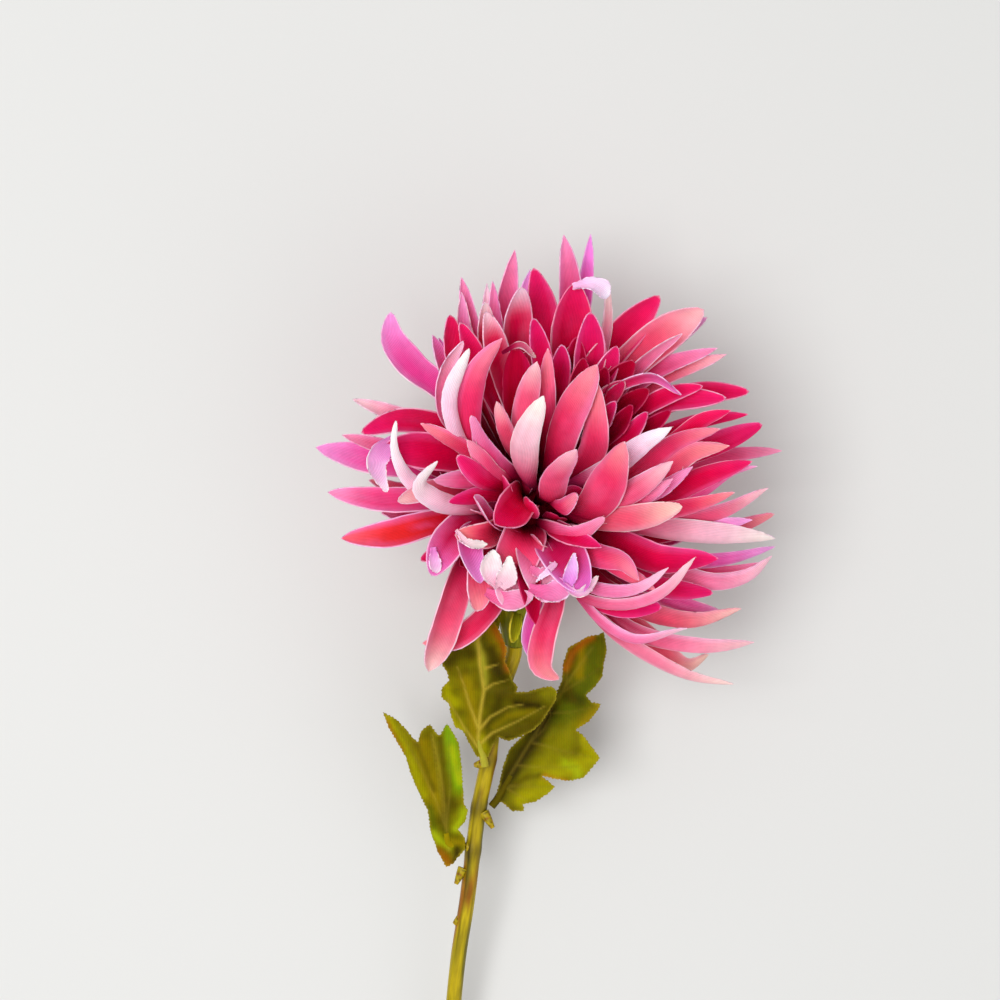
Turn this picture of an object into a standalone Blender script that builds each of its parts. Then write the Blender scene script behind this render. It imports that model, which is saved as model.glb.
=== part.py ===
"""Chrysanthemum flower of cloth and moulded plastic, lying on its side on a table.

Frame: origin on the flat spot where the hidden petals rest, X to the photo's right, +Y along the
flower from the cut end to the top of the bloom, +Z up off the table. Lengths are in millimetres
and go into the meshes in metres. The photo was read by eye in its own units, from its corner, and
photo_point turns a reading and a height into a place.
"""
import math
import random

import bmesh
import bpy
import mathutils
import numpy as np
from mathutils import Vector, geometry

MM = 0.001
SAME_PLACE = 0.00001        # points closer than this, in metres, become one
SAME_CORNER = 0.0000001     # the same for the corners that a union leaves

# Driving dimensions, in millimetres unless said
PHOTO_UNIT = 0.283          # one photo unit at the height of the bloom's centre
PHOTO_MIDDLE = (500, 500)   # where the camera's axis meets the photo
CAMERA_HEIGHT = 500.0       # camera above the bloom's centre
CENTRE = (525, 515)         # where the petals come together, in photo units
CENTRE_HEIGHT = 48.0        # bloom's centre above the table
FLAT_SPOT = (22.9, 29.1)    # flat resting spot, across and up from the bloom's centre
BLOOM_AXIS = Vector((0.51, 0.68, 0.53)).normalized()
NEAR_SIDE = Vector((-0.32, -0.42, 0.85))
NECK_AXIS = Vector((0.07, 0.94, 0.33)).normalized()
FORM_CENTRE = (551, 460)    # the rounded form that the petal tips follow, in photo units
FORM_RADIUS = 230.0         # its radius in photo units
FORM_BASE = 8.0             # height of its rim over the bloom's centre
FORM_RISE = 42.0            # height of its top over the rim
CURVE_STEPS = 16            # steps between two points of a smooth path
PETAL_THICKNESS = 0.75
PETAL_CUP = 0.16            # how far a petal's edges stand over its middle, in widths
ROOT_DEPTH = 11.0           # petals start this far from the bloom's centre
NARROW = 7.1                # petals under this width have no middle line
FULLNESS = 1.08             # a cupped petal is this much wider than it looks in the photo
FACING = 0.74               # share by which a shown petal turns to or from the camera

# Width of each form of petal along its length, as a share of the widest
WIDTH_STATIONS = (0.0, 0.3, 0.6, 0.85, 1.0)
FORM_WIDTHS = {
    "lens": (0.38, 0.8, 1.0, 0.76, 0.16),
    "spoon": (0.32, 0.6, 0.95, 0.92, 0.3),
    "bowl": (0.45, 0.8, 1.0, 0.88, 0.4),
    "drop": (0.5, 1.0, 0.78, 0.36, 0.12),
}
# Rows of points along a petal, by the number of its segments
PETAL_STATIONS = {
    3: (0.0, 0.35, 0.75, 1.0),
    4: (0.0, 0.3, 0.6, 0.85, 1.0),
    5: (0.0, 0.25, 0.5, 0.7, 0.87, 1.0),
}
SHORT_PATH = 4              # a path of up to this many points needs only three segments

# Cushion inside the bloom, as (radius, height) along the neck
CORE = ((0, -17), (8, -17), (14, -12), (17, -3), (17, 5), (13.5, 13), (7, 18), (0, 19.5))
CORE_SIDES = 14

STEM_RADIUS = 2.35
STEM_SIDES = 12
STEM_STEPS = 20
STEM_START = 3.0            # straight piece of the stem under the calyx
STEM_PATH = ((513, 657, -14.2), (504, 683, -15.2), (495, 715, -17.0), (489, 757, -19.3),
             (479, 807, -22.0), (474, 844, -24.0), (467, 902, -27.2), (459, 953, -30.0),
             (452, 1020, -33.7), (442, 1130, -39.7), (433, 1240, -45.8))
GAP = 0.35                  # between the stem's top and the calyx
NUBS = ((484, 812, -21.0, 493, 828, -20.0), (483, 764, -19.0, 474, 765, -18.5),
        (463, 868, -24.5, 456, 884, -24.0), (462, 917, -28.0, 454, 924, -27.8))
NUB_RADIUS = 1.5
NUB_END_RADIUS = 0.6
SOCKET = ((474, 846, -24.0), (466.6, 846, -24.0))
SOCKET_RADIUS = 1.9

# Calyx, as (radius, height) along the neck, and a sepal on it in the same terms
CALYX = ((0, -17.35), (7.6, -17.35), (8.4, -18.2), (7.2, -24.0), (5.6, -30.0), (4.3, -36.0),
         (3.1, -40.0), (0, -40.0))
CALYX_SIDES = 14
SEPALS = 6
SEPAL_WIDTH = 5.8
SEPAL_PATH = ((5.2, -25.0), (7.4, -28.5), (7.8, -32.5), (6.9, -36.0))
SEPAL_TURN = 0.87           # the first sepal's turn round the neck, in sepals

LEAF_THICKNESS = 0.75
STALK_RADIUS = 1.15
STALK_SIDES = 8

# Leaves, read off the photo: outline, then the midrib with its heights over the bloom's centre,
# then the rise of the blade to the left and right of it, then the stalk
LEAVES = {
    "leaf_left": (
        ((437, 850), (430, 830), (428, 811), (420, 795), (411, 775), (406, 757), (396, 740),
         (388, 726), (383, 712), (396, 719), (406, 729), (413, 738), (418, 742), (421, 731),
         (430, 724), (437, 734), (440, 735), (447, 723), (453, 732), (459, 744), (461, 760),
         (463, 785), (464, 803), (468, 811), (465, 822), (458, 829), (465, 838), (465, 850), (458, 857),
         (453, 864), (446, 867)),
        ((449, 850, -23.5), (446, 825, -21.0), (443, 790, -18.0), (438, 760, -16.0),
         (432, 735, -15.5)), 0.22, 0.2,
        ((465.2, 845, -24.1), (457, 845, -23.6), (449, 843, -22.9), (446, 832, -21.9))),
    "leaf_front": (
        ((477, 757), (470, 745), (463, 731), (455, 727), (451, 716), (449, 704), (441, 697),
         (442, 687), (449, 681), (447, 672), (441, 663), (446, 650), (453, 645), (462, 648),
         (470, 634), (480, 620), (489, 613), (496, 624), (502, 636), (507, 648), (505, 662),
         (510, 671), (513, 681), (518, 687), (516, 692), (527, 692), (540, 688), (551, 686),
         (557, 691), (556, 700), (549, 711), (543, 721), (534, 730), (520, 737), (508, 741),
         (498, 737), (493, 746), (488, 757)),
        ((483, 757, -15.6), (478, 740, -13.5), (480, 715, -10.5), (484, 690, -8.0),
         (480, 665, -6.0), (478, 640, -4.5), (486, 620, -3.5)), 0.16, 0.12,
        ((485.2, 766, -16.2), (484, 760, -15.9), (480, 748, -14.9), (478, 738, -13.9))),
    "leaf_right": (
        ((495, 800), (499, 785), (503, 766), (509, 750), (519, 739), (533, 727), (545, 712),
         (556, 694), (562, 680), (563, 664), (568, 648), (578, 642), (588, 636), (597, 635),
         (604, 632), (607, 650), (604, 664), (602, 677), (595, 687), (586, 695), (591, 702),
         (601, 704), (596, 713), (588, 722), (576, 730), (583, 735), (592, 747), (600, 758),
         (592, 768), (583, 778), (569, 781), (556, 779), (542, 776), (555, 787), (546, 795),
         (535, 802), (523, 804), (524, 811), (512, 811), (503, 803)),
        ((499, 797, -22.0), (510, 775, -22.0), (526, 749, -21.0), (548, 713, -19.0),
         (569, 680, -16.5), (592, 648, -14.5)), 0.25, 0.16,
        ((491.5, 806.5, -21.6), (496, 801, -21.8), (504, 787, -22.2), (511, 775, -22.2))),
}

# Petals that the photo shows, whorl by whorl: (whorl, root rise, face, petals), a petal is
# (form, width, lift of the tip off the bloom form, belly, roll in degrees, path of photo points).
WHORLS = [
    ("rim, left and lower left", 1.0, 1, [
        ("spoon", 8.5, -8, 6, 0, (440, 388, 410, 365, 390, 338, 387, 315)),
        ("lens", 5.5, -8, 6, 10, (400, 418, 352, 403)),
        ("lens", 5.0, -12, 5, 0, (375, 445, 343, 437)),
        ("lens", 8.5, -8, 7, 0, (430, 468, 385, 462, 318, 448)),
        ("spoon", 7.0, -3, 8, 0, (435, 425, 400, 420, 361, 430)),
        ("spoon", 10.5, -4, 8, 0, (475, 462, 430, 452, 383, 450)),
        ("lens", 7.0, -6, 8, 0, (440, 500, 385, 500, 330, 490)),
        ("bowl", 5.5, -3, 8, 0, (430, 490, 396, 501)),
        ("lens", 8.0, -4, 9, 0, (445, 520, 390, 534, 342, 536)),
        ("spoon", 9.0, -7, 10, 0, (468, 520, 444, 545, 428, 573)),
        ("lens", 9.5, -2, 15, 0, (468, 560, 446, 618, 431, 673)),
        ("lens", 6.5, -14, 10, 0, (497, 600, 458, 638, 423, 643)),
        ("bowl", 7.0, -9, 10, 0, (468, 548, 480, 583)),
        ("bowl", 9.0, -7, 10, 0, (482, 572, 477, 611)),
    ]),
    ("rim, below the gap", 1.0, 1, [
        ("bowl", 12.5, -13, 16, 0, (520, 548, 503, 586)),
        ("bowl", 12.0, -7, 10, 0, (514, 578, 512, 611)),
        ("bowl", 9.5, -8, 12, 0, (536, 565, 546, 603)),
        ("bowl", 12.0, -9, 12, 0, (566, 562, 581, 593)),
        ("lens", 6.5, -4, 12, 0, (530, 590, 537, 624)),
        ("spoon", 7.2, -2, 14, 0, (555, 600, 543, 640, 541, 666, 557, 679)),
        ("lens", 4.6, -7, 12, 20, (536, 610, 530, 640, 546, 674)),
        ("lens", 5.5, -9, 8, 0, (578, 540, 600, 548)),
        ("spoon", 6.5, -9, 8, 30, (496, 524, 470, 501)),
        ("bowl", 7.5, -9, 9, -20, (500, 525, 478, 536, 455, 536)),
        ("bowl", 11.0, -11, 12, 0, (522, 498, 497, 527)),
    ]),
    ("rim, lower right", 1.0, -1, [
        ("lens", 3.9, 0, 8, 20, (585, 600, 620, 606, 660, 595, 698, 562)),
        ("lens", 3.5, 0, 7, 0, (600, 590, 640, 589, 671, 573)),
        ("lens", 3.8, -3, 9, 20, (580, 600, 600, 622, 632, 640, 687, 625)),
        ("lens", 5.8, -7, 6, 0, (640, 610, 692, 622, 743, 611)),
        ("lens", 5.5, -12, 5, 0, (680, 605, 728, 617)),
        ("lens", 5.2, -4, 7, 0, (630, 630, 700, 648, 756, 652)),
        ("spoon", 6.5, -11, 6, 0, (650, 640, 690, 668, 712, 656)),
        ("lens", 4.3, -3, 8, 10, (610, 630, 650, 658, 690, 677, 731, 684)),
        ("lens", 6.5, -3, 7, 0, (600, 557, 622, 561, 641, 577)),
        ("lens", 5.5, -4, 7, 0, (625, 572, 656, 588)),
        ("spoon", 7.0, -9, 6, 0, (600, 600, 660, 613)),
        ("lens", 8.0, 5, 11, 10, (610, 524, 690, 534, 778, 541)),
        ("lens", 9.0, -5, 7, 0, (600, 537, 660, 561, 717, 552)),
        ("lens", 4.5, -7, 6, 0, (700, 562, 778, 554)),
        ("lens", 5.5, -3, 7, 0, (680, 575, 715, 583, 752, 575, 775, 556)),
        ("lens", 5.0, -10, 5, 0, (720, 575, 769, 567)),
        ("spoon", 6.0, -10, 5, 0, (670, 590, 714, 594)),
        ("drop", 8.5, -9, 8, 15, (545, 533, 570, 538, 605, 521)),
    ]),
    ("right side", 4.0, -1, [
        ("lens", 7.0, -3, 6, 0, (660, 500, 700, 480, 752, 460)),
        ("lens", 4.6, -5, 6, 20, (700, 495, 737, 471, 757, 466)),
        ("lens", 5.0, 0, 6, 0, (640, 515, 690, 508, 736, 498)),
        ("lens", 4.6, -3, 6, 0, (665, 522, 722, 512, 769, 487)),
        ("lens", 5.0, -9, 5, 0, (715, 526, 752, 520)),
        ("spoon", 5.0, -9, 5, 0, (720, 533, 776, 515)),
        ("spoon", 7.0, 1, 8, 0, (600, 522, 640, 518, 681, 510)),
        ("spoon", 7.5, -8, 3, 0, (690, 455, 765, 431)),
        ("lens", 5.0, -10, 3, 0, (735, 455, 784, 447)),
        ("lens", 6.0, -2, 4, 0, (680, 440, 700, 420, 728, 406)),
        ("lens", 5.0, -10, 2, 0, (715, 421, 748, 420)),
    ]),
    ("far side, outer", 3.0, 1, [
        ("spoon", 6.5, -9, -2, 0, (690, 395, 750, 390)),
        ("lens", 5.5, -10, -2, 0, (668, 375, 728, 359)),
        ("lens", 5.5, -9, -2, 0, (650, 373, 718, 347)),
        ("spoon", 5.0, -13, -2, 0, (670, 345, 709, 321)),
        ("spoon", 11.0, -2, -2, 0, (622, 372, 662, 335, 702, 306)),
        ("lens", 4.5, -9, 0, 30, (655, 352, 682, 333)),
        ("spoon", 9.5, -12, -2, 0, (615, 345, 655, 293)),
        ("lens", 4.0, -13, 0, 20, (606, 315, 603, 279)),
        ("lens", 5.5, -15, -2, 0, (585, 285, 590, 235)),
        ("lens", 8.0, -11, -2, 0, (570, 290, 564, 235)),
        ("lens", 5.5, -14, -2, 0, (524, 300, 532, 270)),
        ("spoon", 8.5, -6, -2, 0, (545, 340, 539, 267)),
        ("lens", 7.0, -12, -2, 0, (506, 300, 512, 250)),
        ("spoon", 9.0, -5, -2, 0, (516, 345, 514, 284)),
        ("lens", 5.0, -13, 0, 0, (495, 325, 493, 281)),
        ("lens", 4.0, -14, 0, 0, (484, 320, 480, 284)),
        ("lens", 6.5, -12, 0, 0, (470, 325, 468, 277)),
        ("lens", 5.5, -12, 0, 0, (462, 330, 457, 293)),
        ("spoon", 6.8, -8, 0, 0, (484, 335, 476, 302)),
        ("spoon", 7.5, -9, 2, 0, (455, 350, 453, 313)),
        ("lens", 6.0, -10, 2, 0, (444, 365, 432, 334)),
    ]),
    ("far side, inner", 8.0, 1, [
        ("spoon", 12.0, -4, -2, 0, (567, 368, 571, 325, 580, 284)),
        ("spoon", 8.5, -6, -2, 0, (588, 360, 592, 312)),
        ("spoon", 6.0, -4, 0, 0, (540, 355, 531, 316)),
        ("spoon", 7.0, -4, 0, 0, (496, 350, 490, 312)),
        ("spoon", 6.0, -4, 2, 0, (475, 355, 464, 320)),
        ("spoon", 5.0, -2, 4, -10, (443, 400, 446, 365, 458, 340)),
        ("spoon", 6.0, -4, 0, 0, (668, 402, 725, 396)),
        ("spoon", 5.2, -7, 0, 0, (678, 393, 702, 388)),
        ("spoon", 3.2, -5, 2, 40, (630, 381, 652, 375, 683, 389)),
    ]),
    ("inner cluster", 14.0, 1, [
        ("spoon", 6.5, -14, 0, 0, (558, 372, 560, 344)),
        ("spoon", 6.5, -14, 0, 0, (574, 366, 579, 336)),
        ("spoon", 6.5, -15, 0, 0, (590, 368, 599, 338)),
        ("spoon", 6.5, -15, 0, 0, (604, 372, 618, 347)),
        ("spoon", 6.5, -16, 0, 0, (612, 384, 634, 360)),
        ("spoon", 6.0, -15, 0, 0, (578, 385, 584, 358)),
        ("spoon", 6.0, -16, 0, 0, (596, 390, 607, 366)),
        ("spoon", 6.0, -17, 0, 0, (606, 398, 625, 380)),
        ("spoon", 5.0, -11, 0, 0, (603, 420, 616, 401)),
        ("spoon", 5.0, -11, 0, 0, (622, 424, 636, 407)),
        ("spoon", 5.0, -10, 0, 0, (634, 432, 649, 415)),
        ("spoon", 5.0, -9, 0, 0, (652, 428, 674, 413)),
        ("spoon", 6.0, -16, 0, 0, (630, 405, 652, 392)),
    ]),
    ("near side, incurved", 7.0, -1, [
        ("spoon", 5.8, 2, 9, 25, (480, 466, 456, 432, 450, 400, 469, 350)),
        ("lens", 7.5, -1, 8, 15, (474, 450, 469, 405, 482, 368, 506, 343)),
        ("spoon", 9.5, -8, 4, 0, (518, 420, 517, 350)),
        ("lens", 7.0, -3, 6, 0, (522, 428, 533, 360)),
        ("lens", 5.5, -5, 4, 0, (545, 400, 548, 351)),
        ("lens", 5.0, -7, 4, 0, (505, 430, 497, 403)),
        ("drop", 9.0, -2, 7, 20, (500, 475, 484, 448, 476, 417)),
        ("lens", 5.0, -3, 6, 20, (490, 470, 473, 441)),
        ("lens", 7.8, 1, 9, 0, (527, 482, 525, 440, 541, 400)),
        ("lens", 9.5, 0, 8, 0, (552, 465, 570, 412, 597, 364)),
        ("lens", 7.5, -4, 6, 0, (590, 455, 598, 385)),
        ("lens", 7.5, 3, 8, 25, (550, 500, 557, 476, 572, 452)),
        ("bowl", 4.5, -3, 4, 0, (565, 506, 574, 497)),
        ("lens", 11.0, 1, 9, 0, (586, 512, 606, 482, 622, 442)),
        ("lens", 6.2, 1, 8, 0, (615, 466, 645, 441, 669, 425)),
        ("lens", 6.5, 1, 8, 0, (618, 500, 645, 482, 669, 460)),
        ("lens", 5.5, -1, 7, 0, (628, 480, 680, 440, 718, 424)),
        ("lens", 6.0, -1, 7, 0, (655, 483, 690, 452, 727, 439)),
        ("lens", 4.5, -4, 5, 0, (660, 490, 691, 467)),
        ("lens", 4.5, -3, 5, 0, (650, 495, 672, 480)),
        ("drop", 6.0, 1, 8, 15, (440, 500, 404, 473, 394, 445, 396, 421)),
        ("lens", 6.0, 1, 8, 15, (464, 509, 438, 502, 421, 487, 438, 461)),
        ("lens", 6.0, -3, 8, 0, (500, 482, 433, 480)),
        ("lens", 5.0, -5, 7, 0, (505, 495, 450, 499)),
        ("lens", 5.0, -4, 7, 0, (465, 449, 421, 425)),
        ("spoon", 5.5, -2, 6, 0, (480, 478, 459, 461)),
    ]),
]
# Petals under the bloom, by rule: (degrees off the bloom axis, length, first and last degrees
# round it from the near side, how many)
HIDDEN_RINGS = ((48, 54, 118, 242, 7), (62, 57, 104, 256, 9), (76, 57, 112, 248, 8),
                (90, 56, 98, 140, 3), (90, 56, 216, 244, 3), (108, 42, 104, 256, 7),
                (120, 44, 262, 306, 3), (124, 40, 160, 232, 3))
HIDDEN_WIDTH = 9.0
HIDDEN_CURL = 0.22          # how far their tips turn back to the axis, in radians
HIDDEN_DRAWS = {"turn": 0.2, "lean": 4.0, "reach": (0.95, 1.04)}
SEED = 11

# Petals that the bloom rests on: degrees round from +X and width
REST_PETALS = ((-4, 9.0), (24, 10.0), (50, 12.0), (79, 10.0), (108, 9.5))
REST_PATH = ((16.0, -30.0), (28.0, -47.0), (44.0, -50.0))   # out from the centre, height


def wipe_scene():
    """Remove all that the new Blender file holds."""
    for thing in list(bpy.data.objects):
        bpy.data.objects.remove(thing, do_unlink=True)
    for box in list(bpy.data.collections):
        bpy.data.collections.remove(box)


def new_collection(name):
    box = bpy.data.collections.new(name)
    bpy.context.scene.collection.children.link(box)
    return box


def to_row(point):
    """Millimetres from the bloom's centre to millimetres in the row frame."""
    return Vector((point[0] - FLAT_SPOT[0], point[1] - FLAT_SPOT[1], point[2] + CENTRE_HEIGHT))


def photo_point(across, down, height):
    """A reading in the photo and a height over the bloom's centre, from that centre in mm."""
    scale = PHOTO_UNIT * (1.0 - height / CAMERA_HEIGHT)
    x = (across - PHOTO_MIDDLE[0]) * scale - (CENTRE[0] - PHOTO_MIDDLE[0]) * PHOTO_UNIT
    y = (PHOTO_MIDDLE[1] - down) * scale - (PHOTO_MIDDLE[1] - CENTRE[1]) * PHOTO_UNIT
    return Vector((x, y, height))


def add_object(name, verts, faces, box):
    """A mesh object from points in millimetres."""
    mesh = bpy.data.meshes.new(name)
    mesh.from_pydata([tuple(v * MM for v in vert) for vert in verts], [], faces)
    thing = bpy.data.objects.new(name, mesh)
    box.objects.link(thing)
    return thing


def face_outward(thing):
    """Turn the faces of a closed mesh to the outside."""
    bm = bmesh.new()
    bm.from_mesh(thing.data)
    bmesh.ops.recalc_face_normals(bm, faces=bm.faces)
    if bm.calc_volume(signed=True) < 0:
        bmesh.ops.reverse_faces(bm, faces=bm.faces)
    bm.to_mesh(thing.data)
    bm.free()


def colour(thing, name, rgb, roughness):
    """Give a solid a material of its own."""
    material = bpy.data.materials.new(name)
    material.use_nodes = True
    shader = material.node_tree.nodes["Principled BSDF"]
    shader.inputs["Base Color"].default_value = (*rgb, 1.0)
    shader.inputs["Roughness"].default_value = roughness
    material.diffuse_color = (*rgb, 1.0)
    thing.data.materials.clear()
    thing.data.materials.append(material)


def smooth_path(points, stations):
    """Places at the stations (0 to 1 of the length) of a smooth curve through the points."""
    pts = np.array([tuple(p) for p in points], dtype=float)
    knots = np.concatenate(([0.0], np.cumsum(np.linalg.norm(np.diff(pts, axis=0), axis=1))))
    slopes = np.gradient(pts, knots, axis=0)
    dense = []
    for i in range(len(pts) - 1):
        span = knots[i + 1] - knots[i]
        for u in np.linspace(0.0, 1.0, CURVE_STEPS, endpoint=(i == len(pts) - 2)):
            ease = 3 * u ** 2 - 2 * u ** 3
            leave = (u ** 3 - 2 * u ** 2 + u) * span * slopes[i]
            arrive = (u ** 3 - u ** 2) * span * slopes[i + 1]
            dense.append((1 - ease) * pts[i] + leave + ease * pts[i + 1] + arrive)
    dense = np.array(dense)
    along = np.concatenate(([0.0], np.cumsum(np.linalg.norm(np.diff(dense, axis=0), axis=1))))
    along /= along[-1]
    return [Vector([np.interp(t, along, dense[:, k]) for k in range(3)]) for t in stations]


def carried_frames(places, start_normal):
    """Side and normal at each place, with the normal carried along without twist."""
    frames = []
    normal = start_normal
    for i, place in enumerate(places):
        ahead = places[min(i + 1, len(places) - 1)]
        behind = places[max(i - 1, 0)]
        tangent = (ahead - behind).normalized()
        normal = (normal - tangent * normal.dot(tangent)).normalized()
        frames.append((tangent.cross(normal), normal))
    return frames


def petal_width(form, t):
    """Petal's width along its length as a share of the widest."""
    return float(np.interp(t, WIDTH_STATIONS, FORM_WIDTHS[form]))


def inner_normal(root, tip, roll, facing):
    """Normal of the inner face, turned towards the camera (facing 1) or away from it (-1)."""
    chord = (tip - root).normalized()
    normal = (BLOOM_AXIS - chord * BLOOM_AXIS.dot(chord)).normalized()
    if facing:
        up = Vector((0.0, 0.0, 1.0))
        seen = (up - chord * chord.z).normalized() * facing
        normal = (normal * (1.0 - FACING) + seen * FACING).normalized()
    return mathutils.Quaternion(chord, math.radians(roll)) @ normal


def rest_on_table(pair):
    """Lift an upper and lower point alike so that the lower one is not under the table."""
    low = min(pair[0].z, pair[1].z)
    if low < 0.0:
        for point in pair:
            point.z -= low
    return pair


def petal_faces(segments, columns):
    """Triangles of a closed petal whose points run ring by ring, inner and outer by turns."""
    wide = 2 * columns
    faces = []
    for ring in range(segments):
        here, ahead = ring * wide, (ring + 1) * wide
        for step in range(0, wide - 2, 2):
            a, b, c, d = here + step, ahead + step, ahead + step + 2, here + step + 2
            faces += [(a, b, c), (a, c, d)]
            faces += [(a + 1, c + 1, b + 1), (a + 1, d + 1, c + 1)]
        for step in (0, wide - 2):
            a, b, c, d = here + step, ahead + step, ahead + step + 1, here + step + 1
            faces += [(a, b, c), (a, c, d)]
    for end in (0, segments * wide):
        for step in range(0, wide - 2, 2):
            a, b, c, d = end + step, end + step + 2, end + step + 3, end + step + 1
            faces += [(a, b, c), (a, c, d)]
    return faces


def blade(name, points, width, roll, facing, box, segments, form="lens", flat=False):
    """One closed petal, two or three points across, split alike on its two faces."""
    row = (-1, 1) if flat or width < NARROW else (-1, 0, 1)
    stations = PETAL_STATIONS[segments]
    places = smooth_path(points, stations)
    frames = carried_frames(places, inner_normal(places[0], places[-1], roll, facing))
    verts = []
    for t, place, (side, normal) in zip(stations, places, frames):
        half = 0.5 * width * petal_width(form, t)
        for across in row:
            cup = 0.0 if len(row) == 2 else PETAL_CUP * 2 * half * abs(across)
            inner = place + side * half * across + normal * (cup + PETAL_THICKNESS / 2)
            outer = inner - normal * PETAL_THICKNESS
            verts += rest_on_table([to_row(inner), to_row(outer)])
    thing = add_object(name, verts, petal_faces(segments, len(row)), box)
    face_outward(thing)
    return thing


def form_height(across, down):
    """Height over the bloom's centre of the rounded form that the tips follow."""
    off = math.hypot(across - FORM_CENTRE[0], down - FORM_CENTRE[1]) / FORM_RADIUS
    return FORM_BASE + FORM_RISE * math.sqrt(max(0.0, 1.0 - off * off))


def shown_path(rise, lift, belly, readings):
    """Points of a petal of the photo, from its root by the centre out to its tip.

    Its readings are pairs of numbers, across and down the photo. Its height goes from the root's
    to the tip's over the rounded form, with a belly in between.
    """
    spots = list(zip(readings[0::2], readings[1::2]))
    tip_height = form_height(*spots[-1]) + lift
    start = BLOOM_AXIS * rise
    flat = [CENTRE] + spots
    runs = [math.dist(a, b) for a, b in zip(flat, flat[1:])]
    points, gone = [], 0.0
    for spot, run in zip(spots, runs):
        gone += run / sum(runs)
        height = start.z + (tip_height - start.z) * gone + belly * 4 * gone * (1 - gone)
        points.append(photo_point(*spot, height))
    root = start + (points[0] - start).normalized() * ROOT_DEPTH
    return [root] + points


def hidden_paths():
    """Paths and widths of the petals under the bloom."""
    draw = random.Random(SEED)
    side = BLOOM_AXIS.cross(NEAR_SIDE).normalized()
    near = side.cross(BLOOM_AXIS).normalized()
    for off, length, first, last, count in HIDDEN_RINGS:
        for i in range(count):
            place = i + draw.uniform(-HIDDEN_DRAWS["turn"], HIDDEN_DRAWS["turn"])
            turn = math.radians(first + (last - first) * place / (count - 1))
            round_it = near * math.cos(turn) + side * math.sin(turn)
            lean = math.radians(off + draw.uniform(-HIDDEN_DRAWS["lean"], HIDDEN_DRAWS["lean"]))
            reach = length * draw.uniform(*HIDDEN_DRAWS["reach"])
            way = BLOOM_AXIS * math.cos(lean) + round_it * math.sin(lean)
            curled = lean - HIDDEN_CURL
            end = BLOOM_AXIS * math.cos(curled) + round_it * math.sin(curled)
            yield [way * ROOT_DEPTH, way * reach * 0.6, end * reach], HIDDEN_WIDTH


def rest_paths():
    """Paths and widths of the petals that the bloom rests on."""
    for turn, width in REST_PETALS:
        out = Vector((math.cos(math.radians(turn)), math.sin(math.radians(turn)), 0.0))
        points = [out * far + Vector((0.0, 0.0, height)) for far, height in REST_PATH]
        yield [points[0].normalized() * ROOT_DEPTH] + points, width


def turned(name, profile, axis, steps, box):
    """A profile of (radius, height) turned round an axis through the bloom's centre."""
    mesh = bpy.data.meshes.new(name)
    verts = [(r * MM, 0.0, h * MM) for r, h in profile]
    mesh.from_pydata(verts, [(i, i + 1) for i in range(len(verts) - 1)], [])
    thing = bpy.data.objects.new(name, mesh)
    box.objects.link(thing)
    screw = thing.modifiers.new("turn", "SCREW")
    screw.steps = screw.render_steps = steps
    screw.use_merge_vertices = True
    screw.merge_threshold = SAME_PLACE
    graph = bpy.context.evaluated_depsgraph_get()
    baked = bpy.data.meshes.new_from_object(thing.evaluated_get(graph))
    thing.modifiers.clear()
    thing.data = baked
    bm = bmesh.new()
    bm.from_mesh(baked)
    bmesh.ops.remove_doubles(bm, verts=bm.verts, dist=SAME_PLACE)
    bm.to_mesh(baked)
    bm.free()
    turn = axis.to_track_quat("Z", "Y").to_matrix().to_4x4()
    baked.transform(mathutils.Matrix.Translation(to_row((0, 0, 0)) * MM) @ turn)
    face_outward(thing)
    return thing


def fuse(base, parts_box):
    """Union the base with everything in the collection, apply it and keep the outer body."""
    union = base.modifiers.new("fuse", "BOOLEAN")
    union.operation = "UNION"
    union.operand_type = "COLLECTION"
    union.collection = parts_box
    union.solver = "MANIFOLD"
    graph = bpy.context.evaluated_depsgraph_get()
    joined = bpy.data.meshes.new_from_object(base.evaluated_get(graph))
    base.modifiers.clear()
    base.data = joined
    for thing in list(parts_box.objects):
        bpy.data.objects.remove(thing, do_unlink=True)
    bpy.data.collections.remove(parts_box)
    keep_outer_body(base)


def keep_outer_body(thing):
    """Drop sealed hollows and loose scraps, leaving the one body with the most volume."""
    bm = bmesh.new()
    bm.from_mesh(thing.data)
    bmesh.ops.remove_doubles(bm, verts=bm.verts, dist=SAME_CORNER)
    seen, groups = set(), []
    for face in bm.faces:
        if face in seen:
            continue
        stack, group = [face], []
        seen.add(face)
        while stack:
            here = stack.pop()
            group.append(here)
            for edge in here.edges:
                for other in edge.link_faces:
                    if other not in seen:
                        seen.add(other)
                        stack.append(other)
        groups.append(group)
    groups.sort(key=len)
    scrap = [face for group in groups[:-1] for face in group]
    if scrap:
        bmesh.ops.delete(bm, geom=scrap, context="FACES")
        loose = [v for v in bm.verts if not v.link_faces]
        bmesh.ops.delete(bm, geom=loose, context="VERTS")
    bmesh.ops.triangulate(bm, faces=bm.faces)
    bm.to_mesh(thing.data)
    bm.free()


def make_bloom(box):
    """The petals of the photo and those under them, fused round the cushion."""
    bloom = turned("bloom", CORE, NECK_AXIS, CORE_SIDES, box)
    petals = new_collection("bloom petals")
    for whorl, rise, facing, rows in WHORLS:
        for i, (form, width, lift, belly, roll, readings) in enumerate(rows):
            path = shown_path(rise, lift, belly, readings)
            segments = 3 if len(path) <= SHORT_PATH else 4
            blade(f"{whorl} {i}", path, width * FULLNESS, roll, facing, petals, segments, form)
    for i, (path, width) in enumerate(hidden_paths()):
        blade(f"hidden {i}", path, width, 0, 0, petals, 3, flat=True)
    for i, (path, width) in enumerate(rest_paths()):
        blade(f"rest {i}", path, width, 0, 0, petals, 5)
    fuse(bloom, petals)
    colour(bloom, "petal cloth", (0.72, 0.10, 0.22), 0.8)


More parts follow.
